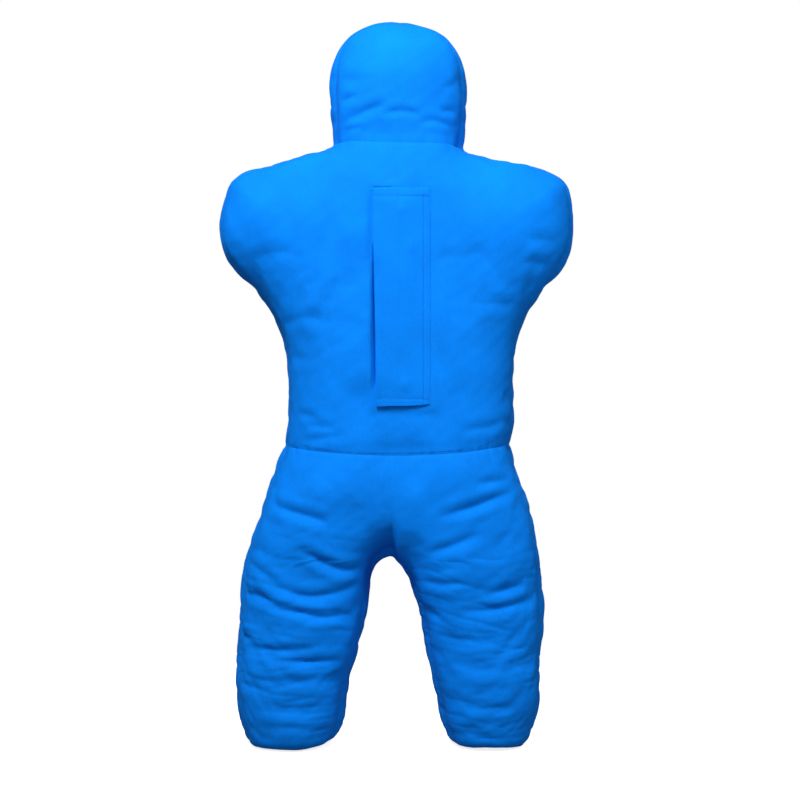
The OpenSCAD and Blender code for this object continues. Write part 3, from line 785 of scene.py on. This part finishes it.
# What one operator leaves for the next: the pattern, the cover, its surface and the flap's edges
state = {}


def finish_cloth(piece, material, cloth):
    """Gives a cut piece its thickness and its canvas, and shades it smooth."""
    apply_modifier(piece, "SOLIDIFY", thickness=cloth, offset=-1, use_even_offset=False)
    piece.data.materials.clear()
    piece.data.materials.append(material)
    smooth_by_angle(piece, 50)


class DUMMY_OT_sewn_cover(bpy.types.Operator):
    """Draft the sewn cover from its pattern, stuff it, and press in its folds"""
    bl_idname = "dummy.sewn_cover"
    bl_label = "Sewn Cover"

    def execute(self, context):
        sizes = context.scene.dummy_sizes
        pattern = Pattern(sizes.gusset)
        cover = mesh_of_grids("cover", cover_grids(pattern))
        stuff(cover, pattern)
        apply_modifier(cover, "SUBSURF", levels=1, render_levels=1)
        shape_cover(cover, pattern)
        co, _ = mesh_arrays(cover.data)
        state["pattern"], state["cover"] = pattern, cover
        corners = [list(p.vertices) for p in cover.data.polygons]
        state["surface"] = BVHTree.FromPolygons(co.tolist(), corners)
        return {"FINISHED"}


class DUMMY_OT_head(bpy.types.Operator):
    """Cut the head's panels and side strip from the cover"""
    bl_idname = "dummy.head"
    bl_label = "Head"

    def execute(self, context):
        canvas = canvas_material()
        for name, nodes in (("head_back", ["head_back_panel"]),
                            ("head_front", ["head_front_panel", "head_filling"]),
                            ("head_strip", ["head_gusset_left", "head_gusset_right"])):
            piece = regions_to_piece(state["cover"], [name], name)
            finish_cloth(piece, canvas, context.scene.dummy_sizes.cloth)
            neck_blend(piece)
            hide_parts(*nodes)
        return {"FINISHED"}


def cut_slit(piece, half):
    """Cuts the slit for the zip out of the back panel, as long as the guard strip behind it."""
    (_, _, low), (_, _, high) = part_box("zip_guard")
    work = bmesh.new()
    work.from_mesh(piece.data)
    for place, way in (((-half, 0, 0), (1, 0, 0)), ((half, 0, 0), (1, 0, 0)),
                       ((0, 0, low), (0, 0, 1)), ((0, 0, high), (0, 0, 1))):
        near = [f for f in work.faces if abs(f.calc_center_median().x) < 2.5 * half
                and low - 0.02 < f.calc_center_median().z < high + 0.02]
        parts = near + list({e for f in near for e in f.edges}) + list({v for f in near for v in f.verts})
        bmesh.ops.bisect_plane(work, geom=parts, plane_co=place, plane_no=way)
    inside = [f for f in work.faces if abs(f.calc_center_median().x) < half
              and low < f.calc_center_median().z < high]
    bmesh.ops.delete(work, geom=inside, context="FACES")
    work.to_mesh(piece.data)
    work.free()


def press_crevice(piece, start, end, into, depth, width):
    """Presses a narrow crevice into a panel along an upright or a level line, on finer cells."""
    start, end, into = Vector(start), Vector(end), Vector(into)
    along = (end - start).normalized()
    length = (end - start).length
    work = bmesh.new()
    work.from_mesh(piece.data)
    for step in (-3, -1.6, -0.8, 0, 0.8, 1.6, 3):
        place = start + into * step * width
        near = [f for f in work.faces if abs((f.calc_center_median() - start).dot(into)) < 0.012
                and -0.01 < (f.calc_center_median() - start).dot(along) < length + 0.01
                and f.calc_center_median().y < 0]
        parts = near + list({e for f in near for e in f.edges}) + list({v for f in near for v in f.verts})
        bmesh.ops.bisect_plane(work, geom=parts, plane_co=place, plane_no=into)
    for vert in work.verts:
        aside = (vert.co - start).dot(into) / width
        share = (vert.co - start).dot(along) / length
        if abs(aside) < 3 and 0 < share < 1 and vert.co.y < 0:
            vert.co.y += depth * math.exp(-aside ** 2) * math.sin(math.pi * share) ** 0.4
    work.to_mesh(piece.data)
    work.free()


def press_flap_crevices(piece):
    """Presses the back in along the flap's open edge, and along the corner of its upper edge."""
    (left, _, low), (_, _, high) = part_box("flap_outer_ply")
    press_crevice(piece, (left + 0.0036, 0, low + 0.030), (left - 0.0004, 0, high - 0.090),
                  (1, 0, 0.015), 0.0065, 0.0011)
    press_crevice(piece, (left, 0, high + 0.0006), (left + 0.028, 0, high + 0.0006),
                  (0, 0, 1), 0.004, 0.0009)


class DUMMY_OT_torso(bpy.types.Operator):
    """Cut the torso's panels and side strips from the cover"""
    bl_idname = "dummy.torso"
    bl_label = "Torso"

    def execute(self, context):
        canvas = canvas_material()
        for name, nodes in (
                ("torso_back", ["torso_back_panel", "torso_filling", "neck_roll", "waist_roll"]),
                ("torso_front", ["torso_front_panel"]), ("torso_strip_left", ["torso_gusset_left"]),
                ("torso_strip_right", ["torso_gusset_right"])):
            piece = regions_to_piece(state["cover"], [name], name)
            if name == "torso_back":
                cut_slit(piece, context.scene.dummy_sizes.slit / 2)
                press_flap_crevices(piece)
            finish_cloth(piece, canvas, context.scene.dummy_sizes.cloth)
            waist_blend(piece)
            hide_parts(*nodes)
        return {"FINISHED"}


class DUMMY_OT_trousers(bpy.types.Operator):
    """Cut the trouser panels, strips and leg ends from the cover"""
    bl_idname = "dummy.trousers"
    bl_label = "Trousers"

    def execute(self, context):
        canvas = canvas_material()
        # The left half of each trouser panel also stands for the seat's panel and filling.
        for side, seat_back, seat_front in (
                ("left", ["seat_back_panel", "seat_filling"], ["seat_front_panel"]), ("right", [], [])):
            parts = [(f"trouser_back_{side}", [f"{side}_leg_back_panel"] + seat_back),
                     (f"trouser_front_{side}",
                      [f"{side}_leg_front_panel", f"{side}_leg_filling"] + seat_front),
                     (f"outer_strip_{side}", [f"{side}_leg_outer_gusset", f"seat_gusset_{side}"]),
                     (f"inner_strip_{side}", [f"{side}_leg_inner_gusset", f"hip_roll_{side}"]),
                     (f"sole_{side}", [f"{side}_leg_sole"])]
            for name, nodes in parts:
                piece = regions_to_piece(state["cover"], [name], name)
                finish_cloth(piece, canvas, context.scene.dummy_sizes.cloth)
                hip_blend(piece)
                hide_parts(*nodes)
        return {"FINISHED"}


def flap_surface(x, z, low, high, stitched, edge):
    """Height of the flap's middle off the back: flush at its sewn margin, lifted over the zip."""
    near = smooth((stitched + 0.002 - x) / 0.034)
    lift = (0.35 + 0.65 * smooth((z - low) / 0.05)) * (0.5 + 0.5 * smooth((high - z) / 0.025))
    y = -0.1043 - 0.0010 * smooth((edge - x) / 0.010) - 0.0046 * near * lift
    y -= 0.0009 * np.exp(-((x + 0.003) / 0.0035) ** 2) * smooth((z - low) / 0.05)
    for bump_x, bump_z, wide, tall, size in (
            (0.006, 0.874, 0.007, 0.009, 1.5), (0.022, 0.816, 0.008, 0.012, 1.3),
            (0.010, 0.594, 0.008, 0.010, 1.5), (-0.020, 0.700, 0.012, 0.060, 0.5)):
        y -= size * MM * np.exp(-((x - bump_x) / wide) ** 2 - ((z - bump_z) / tall) ** 2)
    open_side = smooth((-0.018 - x) / 0.02)
    gape = np.exp(-((z - low - 0.110) / 0.075) ** 2)
    y -= open_side * (0.0002 + 0.0016 * gape + 0.0004 * np.sin(z * 61) ** 2)
    y += 0.0005 * np.sin(z * 31 + x * 40) * near
    return y


class DUMMY_OT_flap(bpy.types.Operator):
    """Sew the double flap with its hems over the zip"""
    bl_idname = "dummy.flap"
    bl_label = "Flap"

    def execute(self, context):
        low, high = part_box("flap_outer_ply")
        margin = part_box("flap_margin_strip")[1][0]
        x0, x1, z0, z1 = low[0], margin, low[2], high[2]
        stitched = high[0]
        cells_across, cells_up = 46, 168
        s, t = np.meshgrid(np.linspace(0, 1, cells_across + 1), np.linspace(0, 1, cells_up + 1))
        x = x0 + (x1 - x0) * s + (FLAP_SLANT * (1 - t) + 0.0006 * np.sin(t * 5.2 + 0.4)) * (1 - s)
        z = z0 + (z1 - z0) * t + FLAP_TILT * s * (1 - t) + 0.0006 * np.sin(s * 7)
        y = flap_surface(x, z, z0, z1, stitched, x1)
        from_hem = np.minimum(z - z0, z1 - z)
        hem = smooth((FLAP_HEM - from_hem) / 0.002) * 0.0004
        groove = 0.0005 * np.exp(-((from_hem - FLAP_HEM) / 0.0013) ** 2)
        groove += 0.0006 * np.exp(-((x - stitched) / 0.0015) ** 2)
        from_edge = np.minimum.reduce([x - x0, z - z0, z1 - z, x1 - x])
        roll = np.sqrt(np.clip(from_edge / 0.0011, 0, 1))
        sewn_flat = 1 - 0.7 * smooth((x - stitched) / (x1 - stitched))
        one_ply = 0.0012
        thick = (one_ply + hem - groove) * np.maximum(roll, 0.12) * sewn_flat
        outer = np.stack([x, y - thick, z], axis=2)
        inner = np.stack([x, y + thick * 0.9, z], axis=2)
        obj = two_sided("flap", outer, inner)
        obj.data.materials.append(canvas_material())
        smooth_by_angle(obj, 60)
        flap_blend(obj)
        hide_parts("flap_outer_ply", "flap_inner_ply", "flap_margin_strip")
        state["flap"] = (x0, x1, z0, z1, stitched)
        return {"FINISHED"}


def two_sided(name, outer, inner):
    """A closed mesh between two grids of the same size; the first faces out."""
    m, n = outer.shape[:2]
    points = np.vstack([outer.reshape(-1, 3), inner.reshape(-1, 3)])
    k = m * n
    faces = []
    for i in range(m - 1):
        for j in range(n - 1):
            a = i * n + j
            faces.append((a, a + 1, a + n + 1, a + n))
            faces.append((k + a, k + a + n, k + a + n + 1, k + a + 1))
    rim = ([j for j in range(n)] + [i * n + n - 1 for i in range(1, m)]
           + [(m - 1) * n + j for j in range(n - 2, -1, -1)] + [i * n for i in range(m - 2, 0, -1)])
    for a, b in zip(rim, rim[1:] + rim[:1]):
        faces.append((a, k + a, k + b, b))
    mesh = bpy.data.meshes.new(name)
    mesh.from_pydata(points.tolist(), [], faces)
    lengths = cloth_lengths(outer).reshape(-1, 2)
    lengths = np.vstack([lengths, lengths])
    corners = np.empty(len(mesh.loops), int)
    mesh.loops.foreach_get("vertex_index", corners)
    mesh.uv_layers.new(name="cloth").data.foreach_set("uv", lengths[corners].ravel())
    work = bmesh.new()
    work.from_mesh(mesh)
    bmesh.ops.recalc_face_normals(work, faces=work.faces)
    work.to_mesh(mesh)
    work.free()
    obj = bpy.data.objects.new(name, mesh)
    bpy.context.collection.objects.link(obj)
    return obj


# ---------------------------------------------------------------- stitching

def stitch_shape(length, radius):
    """Points and faces of one stitch: a short thread, humped in the middle and sunk at its ends."""
    rings, sides = 5, 5
    points, faces = [], []
    for i in range(rings):
        t = i / (rings - 1)
        thin = radius * (0.35 + 0.65 * math.sin(math.pi * t) ** 0.5)
        for k in range(sides):
            a = 2 * math.pi * k / sides
            points.append(((t - 0.5) * length, math.cos(a) * thin,
                           math.sin(a) * thin + radius * (math.sin(math.pi * t) * 0.9 - 0.45)))
    for i in range(rings - 1):
        for k in range(sides):
            a, b = i * sides + k, i * sides + (k + 1) % sides
            faces.append((a, b, b + sides, a + sides))
    faces.append(tuple(range(sides))[::-1])
    faces.append(tuple((rings - 1) * sides + k for k in range(sides)))
    return np.array(points), faces


def stitched_line(path, ups, pitch, radius):
    """Stitches along a path of points, each standing on the surface with the given upward ways."""
    run = np.concatenate([[0], np.linalg.norm(np.diff(path, axis=0), axis=1).cumsum()])
    count = max(1, int(run[-1] / pitch))
    shape, faces = stitch_shape(pitch * 0.78, radius)
    points, all_faces = [], []
    for k in range(count):
        at = (k + 0.5) * run[-1] / count
        ends = [np.array([np.interp(at + d, run, path[:, c]) for c in range(3)])
                for d in (-pitch / 3, pitch / 3)]
        up = np.array([np.interp(at, run, ups[:, c]) for c in range(3)])
        along = ends[1] - ends[0]
        length = np.linalg.norm(along)
        if length < 1e-6:
            continue
        along /= length
        aside = np.cross(up, along)
        aside /= np.linalg.norm(aside) or 1
        up = np.cross(along, aside)
        start = len(points) * len(shape)
        points.append((ends[0] + ends[1]) / 2 + shape @ np.stack([along, aside, up]))
        all_faces.extend([tuple(start + c for c in f) for f in faces])
    return (np.vstack(points) if points else np.zeros((0, 3))), all_faces


def thread_piece(name, lines, pitch, radius):
    """One piece of thread along several stitched lines."""
    points, faces = [], []
    for path, ups in lines:
        p, f = stitched_line(path, ups, pitch, radius)
        start = sum(len(q) for q in points)
        points.append(p)
        faces.extend([tuple(start + c for c in face) for face in f])
    mesh = bpy.data.meshes.new(name)
    mesh.from_pydata(np.vstack(points).tolist(), [], faces)
    obj = bpy.data.objects.new(name, mesh)
    bpy.context.collection.objects.link(obj)
    obj.data.materials.append(thread_material())
    for polygon in mesh.polygons:
        polygon.use_smooth = True
    return obj


def on_surface(path):
    """A path laid on the stuffed cover, with the cover's outward way at each point."""
    hits = [state["surface"].find_nearest(Vector(p)) for p in path]
    return np.array([hit[0] for hit in hits]), np.array([hit[1] for hit in hits])


def beside_seam(pattern, name, face, allowance, count):
    """Path on a panel at the topstitching's distance from a seam."""
    line = resampled(pattern.seam[name], count)
    moved = shifted(line, INWARDS[name] * allowance * 0.45)
    y = face * (pattern.half + allowance * 0.95)
    return np.stack([moved[:, 0], np.full(len(moved), y), moved[:, 1]], axis=1)


def along_line(line, face, lift, depth):
    """Path beside a crosswise seam on the back or the front panel."""
    x, z = line[1:-1].T
    return np.stack([x, np.full(len(x), face * depth), z + lift], axis=1)


class DUMMY_OT_stitching(bpy.types.Operator):
    """Topstitch the head's seams, the waist seam, the zip slit, the flap and its hems"""
    bl_idname = "dummy.stitching"
    bl_label = "Stitching"

    def execute(self, context):
        sizes = context.scene.dummy_sizes
        pattern = state["pattern"]
        pitch, radius, allowance = sizes.stitch_pitch, sizes.thread / 2, sizes.seam_allowance
        head = [on_surface(beside_seam(pattern, "head", face, allowance, 160)) for face in (-1, 1)]
        neck_blend(thread_piece("head_thread", head, pitch, radius))
        waist = [on_surface(along_line(waist_line(pattern), face, allowance, 0.1))
                 for face in (-1, 1)]
        waist_blend(thread_piece("waist_thread", waist, pitch, radius))
        (_, _, low), (_, _, high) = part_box("zip_guard")
        aside = sizes.slit / 2 + allowance
        frame_line = [(-aside, low - allowance), (-aside, high + allowance), (aside, high + allowance),
                      (aside, low - allowance), (-aside, low - allowance)]
        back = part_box("torso_back_panel")[0][1]
        path = np.array([(x, back - 0.001, z) for x, z in resampled(np.array(frame_line), 300)])
        waist_blend(thread_piece("slit_thread", [on_surface(path)], pitch, radius))
        x0, x1, z0, z1, stitched = state["flap"]
        inset = 0.0015
        lines = [flap_line([(x0 + inset, z), (x1 - inset, z)])
                 for z in (z0 + FLAP_HEM, z1 - FLAP_HEM)]
        steps = int((z1 - z0) / pitch)
        zigzag = [(stitched + 0.0011 * (-1) ** k, z0 + (k + 0.5) * (z1 - z0) / steps)
                  for k in range(steps)]
        lines.append(flap_line(zigzag))
        flap_blend(thread_piece("flap_thread", lines, pitch, radius))
        return {"FINISHED"}


def flap_line(corners):
    """A path on the flap's outer face, with its outward way at each point."""
    _, x1, z0, z1, stitched = state["flap"]
    line = resampled(np.array(corners), 400)
    x, z = line.T
    y = flap_surface(x, z, z0, z1, stitched, x1) - 0.0008
    ups = np.tile([0.0, -1.0, 0.0], (len(x), 1))
    return np.stack([x, y, z], axis=1), ups


# ---------------------------------------------------------------- materials

def add_node(tree, kind, inputs=None, **settings):
    """Adds a node with its settings. An input is a value or another node's output."""
    node = tree.nodes.new(kind)
    for key, value in settings.items():
        setattr(node, key, value)
    for key, value in (inputs or {}).items():
        if isinstance(value, bpy.types.NodeSocket):
            tree.links.new(value, node.inputs[key])
        else:
            node.inputs[key].default_value = value
    return node


def new_material(name):
    """A new material with its shader, or the one of that name without them if it is there."""
    material = bpy.data.materials.get(name)
    if material:
        return material, None, None
    material = bpy.data.materials.new(name)
    material.use_nodes = True
    tree = material.node_tree
    tree.nodes.clear()
    shader = add_node(tree, "ShaderNodeBsdfPrincipled")
    add_node(tree, "ShaderNodeOutputMaterial", {"Surface": shader.outputs[0]})
    return material, tree, shader


def weave(tree, pitch):
    """Height of a plain weave with the given thread pitch in metres, along the cloth."""
    uv = add_node(tree, "ShaderNodeUVMap", uv_map="cloth")
    split = add_node(tree, "ShaderNodeSeparateXYZ", {0: uv.outputs[0]})
    waves = []
    for axis in (0, 1):
        turn = add_node(tree, "ShaderNodeMath", {0: split.outputs[axis], 1: math.pi / pitch},
                        operation="MULTIPLY")
        waves.append(add_node(tree, "ShaderNodeMath", {0: turn.outputs[0]}, operation="SINE"))
    return add_node(tree, "ShaderNodeMath", {0: waves[0].outputs[0], 1: waves[1].outputs[0]},
                    operation="MULTIPLY")


def canvas_material():
    # Plain weave cotton and polyester canvas, piece-dyed royal blue: a matt, slightly hairy face of
    # uneven dye.
    # Its colour also follows the weave: painted shade darkens the hollows between threads and the thread
    # tops are painted paler.
    material, tree, shader = new_material("plain_woven_dyed_canvas")
    if tree is None:
        return material
    base = np.array(bpy.context.scene.dummy_colours.canvas[:3])
    place = add_node(tree, "ShaderNodeTexCoord")
    # Uneven dye, in patches about 60 mm across
    patches = add_node(tree, "ShaderNodeTexNoise", {"Vector": place.outputs["Object"], "Scale": 16.0,
                                                    "Detail": 3.0, "Roughness": 0.5})
    # Slubs in the yarn, a few millimetres long
    slubs = add_node(tree, "ShaderNodeTexNoise", {"Vector": place.outputs["Object"], "Scale": 260.0,
                                                  "Detail": 2.0, "Roughness": 0.6})
    # Threads 1.1 mm apart, twice as coarse as the real ones so that they show
    threads = weave(tree, 0.0011)
    uneven = add_node(tree, "ShaderNodeMath", {0: patches.outputs[0], 1: 0.55}, operation="MULTIPLY")
    slubbed = add_node(tree, "ShaderNodeMath", {0: slubs.outputs[0], 1: 0.35, 2: uneven.outputs[0]},
                       operation="MULTIPLY_ADD")
    # Dye patches and slubs, plus painted shade from the weave: darker colour in the hollows between
    # threads, paler on the thread tops
    dye_slubs_and_weave_shade = add_node(tree, "ShaderNodeMath", {0: threads.outputs[0], 1: 0.05, 2: slubbed.outputs[0]},
                     operation="MULTIPLY_ADD")
    ramp = add_node(tree, "ShaderNodeValToRGB", {0: dye_slubs_and_weave_shade.outputs[0]})
    ramp.color_ramp.elements[0].position = 0.28
    ramp.color_ramp.elements[0].color = tuple(base * 0.86) + (1,)
    ramp.color_ramp.elements[1].position = 0.62
    ramp.color_ramp.elements[1].color = tuple(np.minimum(base * 1.10, 1)) + (1,)
    tree.links.new(ramp.outputs[0], shader.inputs["Base Color"])
    shader.inputs["Roughness"].default_value = 0.85
    shader.inputs["Specular IOR Level"].default_value = 0.08
    shader.inputs["Sheen Weight"].default_value = 0.12
    shader.inputs["Sheen Roughness"].default_value = 0.5
    shader.inputs["Sheen Tint"].default_value = srgb("#1f9bff")
    height = add_node(tree, "ShaderNodeMath", {0: slubs.outputs[0], 1: 0.9, 2: threads.outputs[0]},
                      operation="MULTIPLY_ADD")
    bump = add_node(tree, "ShaderNodeBump", {"Strength": 0.35, "Distance": 0.00022,
                                             "Height": height.outputs[0]})
    tree.links.new(bump.outputs[0], shader.inputs["Normal"])
    return material


def thread_material():
    # Twisted polyester sewing thread, dyed to match: smoother and a little darker than the canvas.
    material, tree, shader = new_material("twisted_polyester_thread")
    if tree is None:
        return material
    place = add_node(tree, "ShaderNodeTexCoord")
    twist = add_node(tree, "ShaderNodeTexNoise", {"Vector": place.outputs["Object"], "Scale": 900.0})
    base = np.array(bpy.context.scene.dummy_colours.thread[:3])
    ramp = add_node(tree, "ShaderNodeValToRGB", {0: twist.outputs[0]})
    ramp.color_ramp.elements[0].color = tuple(base * 0.8) + (1,)
    ramp.color_ramp.elements[1].color = tuple(np.minimum(base * 1.2, 1)) + (1,)
    tree.links.new(ramp.outputs[0], shader.inputs["Base Color"])
    shader.inputs["Roughness"].default_value = 0.6
    shader.inputs["Specular IOR Level"].default_value = 0.15
    return material


def tape_material():
    # Woven polyester zip tape: a fine, flat, matt herringbone.
    material, tree, shader = new_material("woven_polyester_zip_tape")
    if tree is None:
        return material
    place = add_node(tree, "ShaderNodeTexCoord")
    ribs = add_node(tree, "ShaderNodeTexWave", {"Vector": place.outputs["Object"], "Scale": 260.0,
                                                "Distortion": 0.4}, bands_direction="DIAGONAL")
    base = np.array(bpy.context.scene.dummy_colours.tape[:3])
    ramp = add_node(tree, "ShaderNodeValToRGB", {0: ribs.outputs["Fac"]})
    ramp.color_ramp.elements[0].color = tuple(base * 0.7) + (1,)
    ramp.color_ramp.elements[1].color = tuple(base * 1.2) + (1,)
    tree.links.new(ramp.outputs[0], shader.inputs["Base Color"])
    shader.inputs["Roughness"].default_value = 0.8
    bump = add_node(tree, "ShaderNodeBump", {"Strength": 0.4, "Distance": 0.0002,
                                             "Height": ribs.outputs["Fac"]})
    tree.links.new(bump.outputs[0], shader.inputs["Normal"])
    return material


def teeth_material():
    # Moulded acetal teeth: hard, slightly waxy and rounded, a little darker than the tape.
    material, tree, shader = new_material("moulded_acetal_teeth")
    if tree is None:
        return material
    place = add_node(tree, "ShaderNodeTexCoord")
    flow = add_node(tree, "ShaderNodeTexNoise", {"Vector": place.outputs["Object"], "Scale": 700.0})
    ramp = add_node(tree, "ShaderNodeValToRGB", {0: flow.outputs[0]})
    ramp.color_ramp.elements[0].color = srgb("#0b2650")
    ramp.color_ramp.elements[1].color = srgb("#15407e")
    tree.links.new(ramp.outputs[0], shader.inputs["Base Color"])
    shader.inputs["Roughness"].default_value = 0.35
    return material


def nickel_material():
    # Nickel-plated zinc, die cast and tumbled: pale grey metal with fine handling scratches.
    material, tree, shader = new_material("nickel_plated_zinc")
    if tree is None:
        return material
    place = add_node(tree, "ShaderNodeTexCoord")
    # Scratches run up and down, about 1 mm wide and 10 mm long
    stretch = add_node(tree, "ShaderNodeMapping", {"Vector": place.outputs["Object"],
                                                   "Scale": (900, 900, 90)})
    marks = add_node(tree, "ShaderNodeTexNoise", {"Vector": stretch.outputs[0], "Scale": 1.0,
                                                  "Detail": 4.0})
    rough = add_node(tree, "ShaderNodeMapRange", {0: marks.outputs[0], 3: 0.22, 4: 0.45})
    tree.links.new(rough.outputs[0], shader.inputs["Roughness"])
    shader.inputs["Base Color"].default_value = srgb("#8f8e8a")
    shader.inputs["Metallic"].default_value = 1.0
    return material


class DUMMY_OT_zip(bpy.types.Operator):
    """Give the zip under the flap its tape, teeth and metal"""
    bl_idname = "dummy.zip"
    bl_label = "Zip"

    def execute(self, context):
        finishes = {"zip_tape": tape_material(), "zip_teeth": teeth_material(),
                    "zip_metal": nickel_material()}
        slots = {s["node"]: s["material_slot"] for s in frame["record"]["subparts"]}
        for name, obj in frame["nodes"].items():
            finish = finishes.get(slots[name])
            if name == "zip_guard":
                finish = guard_material()
            if finish:
                obj.data.materials.clear()
                obj.data.materials.append(finish)
        return {"FINISHED"}


def guard_material():
    # Dyed canvas again, on the strip behind the teeth. Its grain goes by place, because a CAD
    # solid has no pattern along its cloth.
    material, tree, shader = new_material("canvas_guard_strip")
    if tree is None:
        return material
    place = add_node(tree, "ShaderNodeTexCoord")
    grain = add_node(tree, "ShaderNodeTexNoise", {"Vector": place.outputs["Object"], "Scale": 500.0})
    base = np.array(bpy.context.scene.dummy_colours.canvas[:3])
    ramp = add_node(tree, "ShaderNodeValToRGB", {0: grain.outputs[0]})
    ramp.color_ramp.elements[0].color = tuple(base * 0.8) + (1,)
    ramp.color_ramp.elements[1].color = tuple(base * 1.05) + (1,)
    tree.links.new(ramp.outputs[0], shader.inputs["Base Color"])
    shader.inputs["Roughness"].default_value = 0.85
    return material


class DUMMY_OT_stage(bpy.types.Operator):
    """Set the floor, the soft lights and the camera behind the dummy"""
    bl_idname = "dummy.stage"
    bl_label = "Stage"

    def execute(self, context):
        scene = context.scene
        bpy.ops.object.select_all(action="DESELECT")
        bpy.ops.mesh.primitive_circle_add(vertices=96, radius=6, fill_type="NGON",
                                          location=(0, 0, -0.0005))
        floor = context.active_object
        floor.name = "floor"
        bpy.ops.object.transform_apply(location=True, rotation=True, scale=True)
        white, tree, shader = new_material("matt_white_floor")
        shader.inputs["Base Color"].default_value = srgb("#f4f4f4")
        shader.inputs["Roughness"].default_value = 0.9
        # The floor fades into the white ground about a metre away from the dummy.
        place = add_node(tree, "ShaderNodeTexCoord")
        away = add_node(tree, "ShaderNodeVectorMath", {0: place.outputs["Object"]}, operation="LENGTH")
        fade = add_node(tree, "ShaderNodeMapRange", {0: away.outputs["Value"], 1: 0.45, 2: 1.0},
                        interpolation_type="SMOOTHSTEP")
        clear = add_node(tree, "ShaderNodeBsdfTransparent")
        glow = add_node(tree, "ShaderNodeEmission", {"Color": (1, 1, 1, 1), "Strength": 0.8})
        lit = add_node(tree, "ShaderNodeAddShader", {0: shader.outputs[0], 1: glow.outputs[0]})
        dim = add_node(tree, "ShaderNodeBsdfDiffuse", {"Color": srgb("#7d7d7d")})
        path = add_node(tree, "ShaderNodeLightPath")
        seen = add_node(tree, "ShaderNodeMixShader", {0: path.outputs["Is Camera Ray"],
                                                      1: dim.outputs[0], 2: lit.outputs[0]})
        mixed = add_node(tree, "ShaderNodeMixShader", {0: fade.outputs[0], 1: seen.outputs[0],
                                                       2: clear.outputs[0]})
        surface = tree.nodes["Material Output"].inputs["Surface"]
        tree.links.new(mixed.outputs[0], surface)
        floor.data.materials.append(white)
        world = bpy.data.worlds.new("studio")
        world.use_nodes = True
        tree = world.node_tree
        tree.nodes.clear()
        seen = add_node(tree, "ShaderNodeBackground", {"Color": (1, 1, 1, 1), "Strength": 1.0})
        soft = add_node(tree, "ShaderNodeBackground", {"Color": (0.93, 0.96, 1, 1), "Strength": 0.13})
        path = add_node(tree, "ShaderNodeLightPath")
        mixed = add_node(tree, "ShaderNodeMixShader", {0: path.outputs["Is Camera Ray"],
                                                       1: soft.outputs[0], 2: seen.outputs[0]})
        add_node(tree, "ShaderNodeOutputWorld", {"Surface": mixed.outputs[0]})
        scene.world = world
        lamps = [("key", (-0.4, -1.5, 2.3), 0.9, 63), ("fill", (-0.1, -3.1, 1.1), 1.2, 13),
                 ("far_side", (0.4, 2.6, 1.6), 1.2, 42), ("right", (1.7, -1.0, 1.35), 0.8, 11),
                 ("left", (-1.7, -1.0, 1.35), 0.8, 4)]
        for name, place, size, power in lamps:
            light = bpy.data.lights.new(name, "AREA")
            light.shape, light.size, light.energy = "DISK", size, power
            lamp = bpy.data.objects.new(name, light)
            lamp.location = place
            aim = Vector((0, 0, 0.65)) - Vector(place)
            lamp.rotation_euler = aim.to_track_quat("-Z", "Y").to_euler()
            context.collection.objects.link(lamp)
        camera = bpy.data.cameras.new("camera")
        camera.sensor_fit, camera.sensor_width = "HORIZONTAL", 36
        view_width, distance = 1.336, 2.4
        camera.lens = 36 * distance / view_width
        eye = bpy.data.objects.new("camera", camera)
        eye.location = (0.003, -distance, 0.570)
        eye.rotation_euler = (math.radians(90), 0, 0)
        context.collection.objects.link(eye)
        scene.camera = eye
        scene.view_settings.view_transform = "Standard"
        return {"FINISHED"}


class DUMMY_PT_panel(bpy.types.Panel):
    """Shows the dummy's sizes, colours and building steps"""
    bl_label = "Grappling Dummy"
    bl_idname = "DUMMY_PT_panel"
    bl_space_type = "VIEW_3D"
    bl_region_type = "UI"
    bl_category = "Dummy"

    def draw(self, context):
        layout = self.layout
        for group in (context.scene.dummy_sizes, context.scene.dummy_colours):
            for name in group.__annotations__:
                layout.prop(group, name)
        for step in STEPS:
            layout.operator(step.bl_idname)


STEPS = [DUMMY_OT_stage, DUMMY_OT_sewn_cover, DUMMY_OT_head, DUMMY_OT_torso, DUMMY_OT_trousers,
         DUMMY_OT_flap, DUMMY_OT_stitching, DUMMY_OT_zip]
CLASSES = [DummySizes, DummyColours, *STEPS, DUMMY_PT_panel]


def register():
    for cls in CLASSES:
        bpy.utils.register_class(cls)
    bpy.types.Scene.dummy_sizes = bpy.props.PointerProperty(type=DummySizes)
    bpy.types.Scene.dummy_colours = bpy.props.PointerProperty(type=DummyColours)


def unregister():
    del bpy.types.Scene.dummy_colours
    del bpy.types.Scene.dummy_sizes
    for cls in reversed(CLASSES):
        bpy.utils.unregister_class(cls)


def main():
    register()
    for step in STEPS:
        getattr(bpy.ops.dummy, step.bl_idname.split(".")[1])()
    bpy.data.objects.remove(state["cover"])


if __name__ == "__main__":
    main()
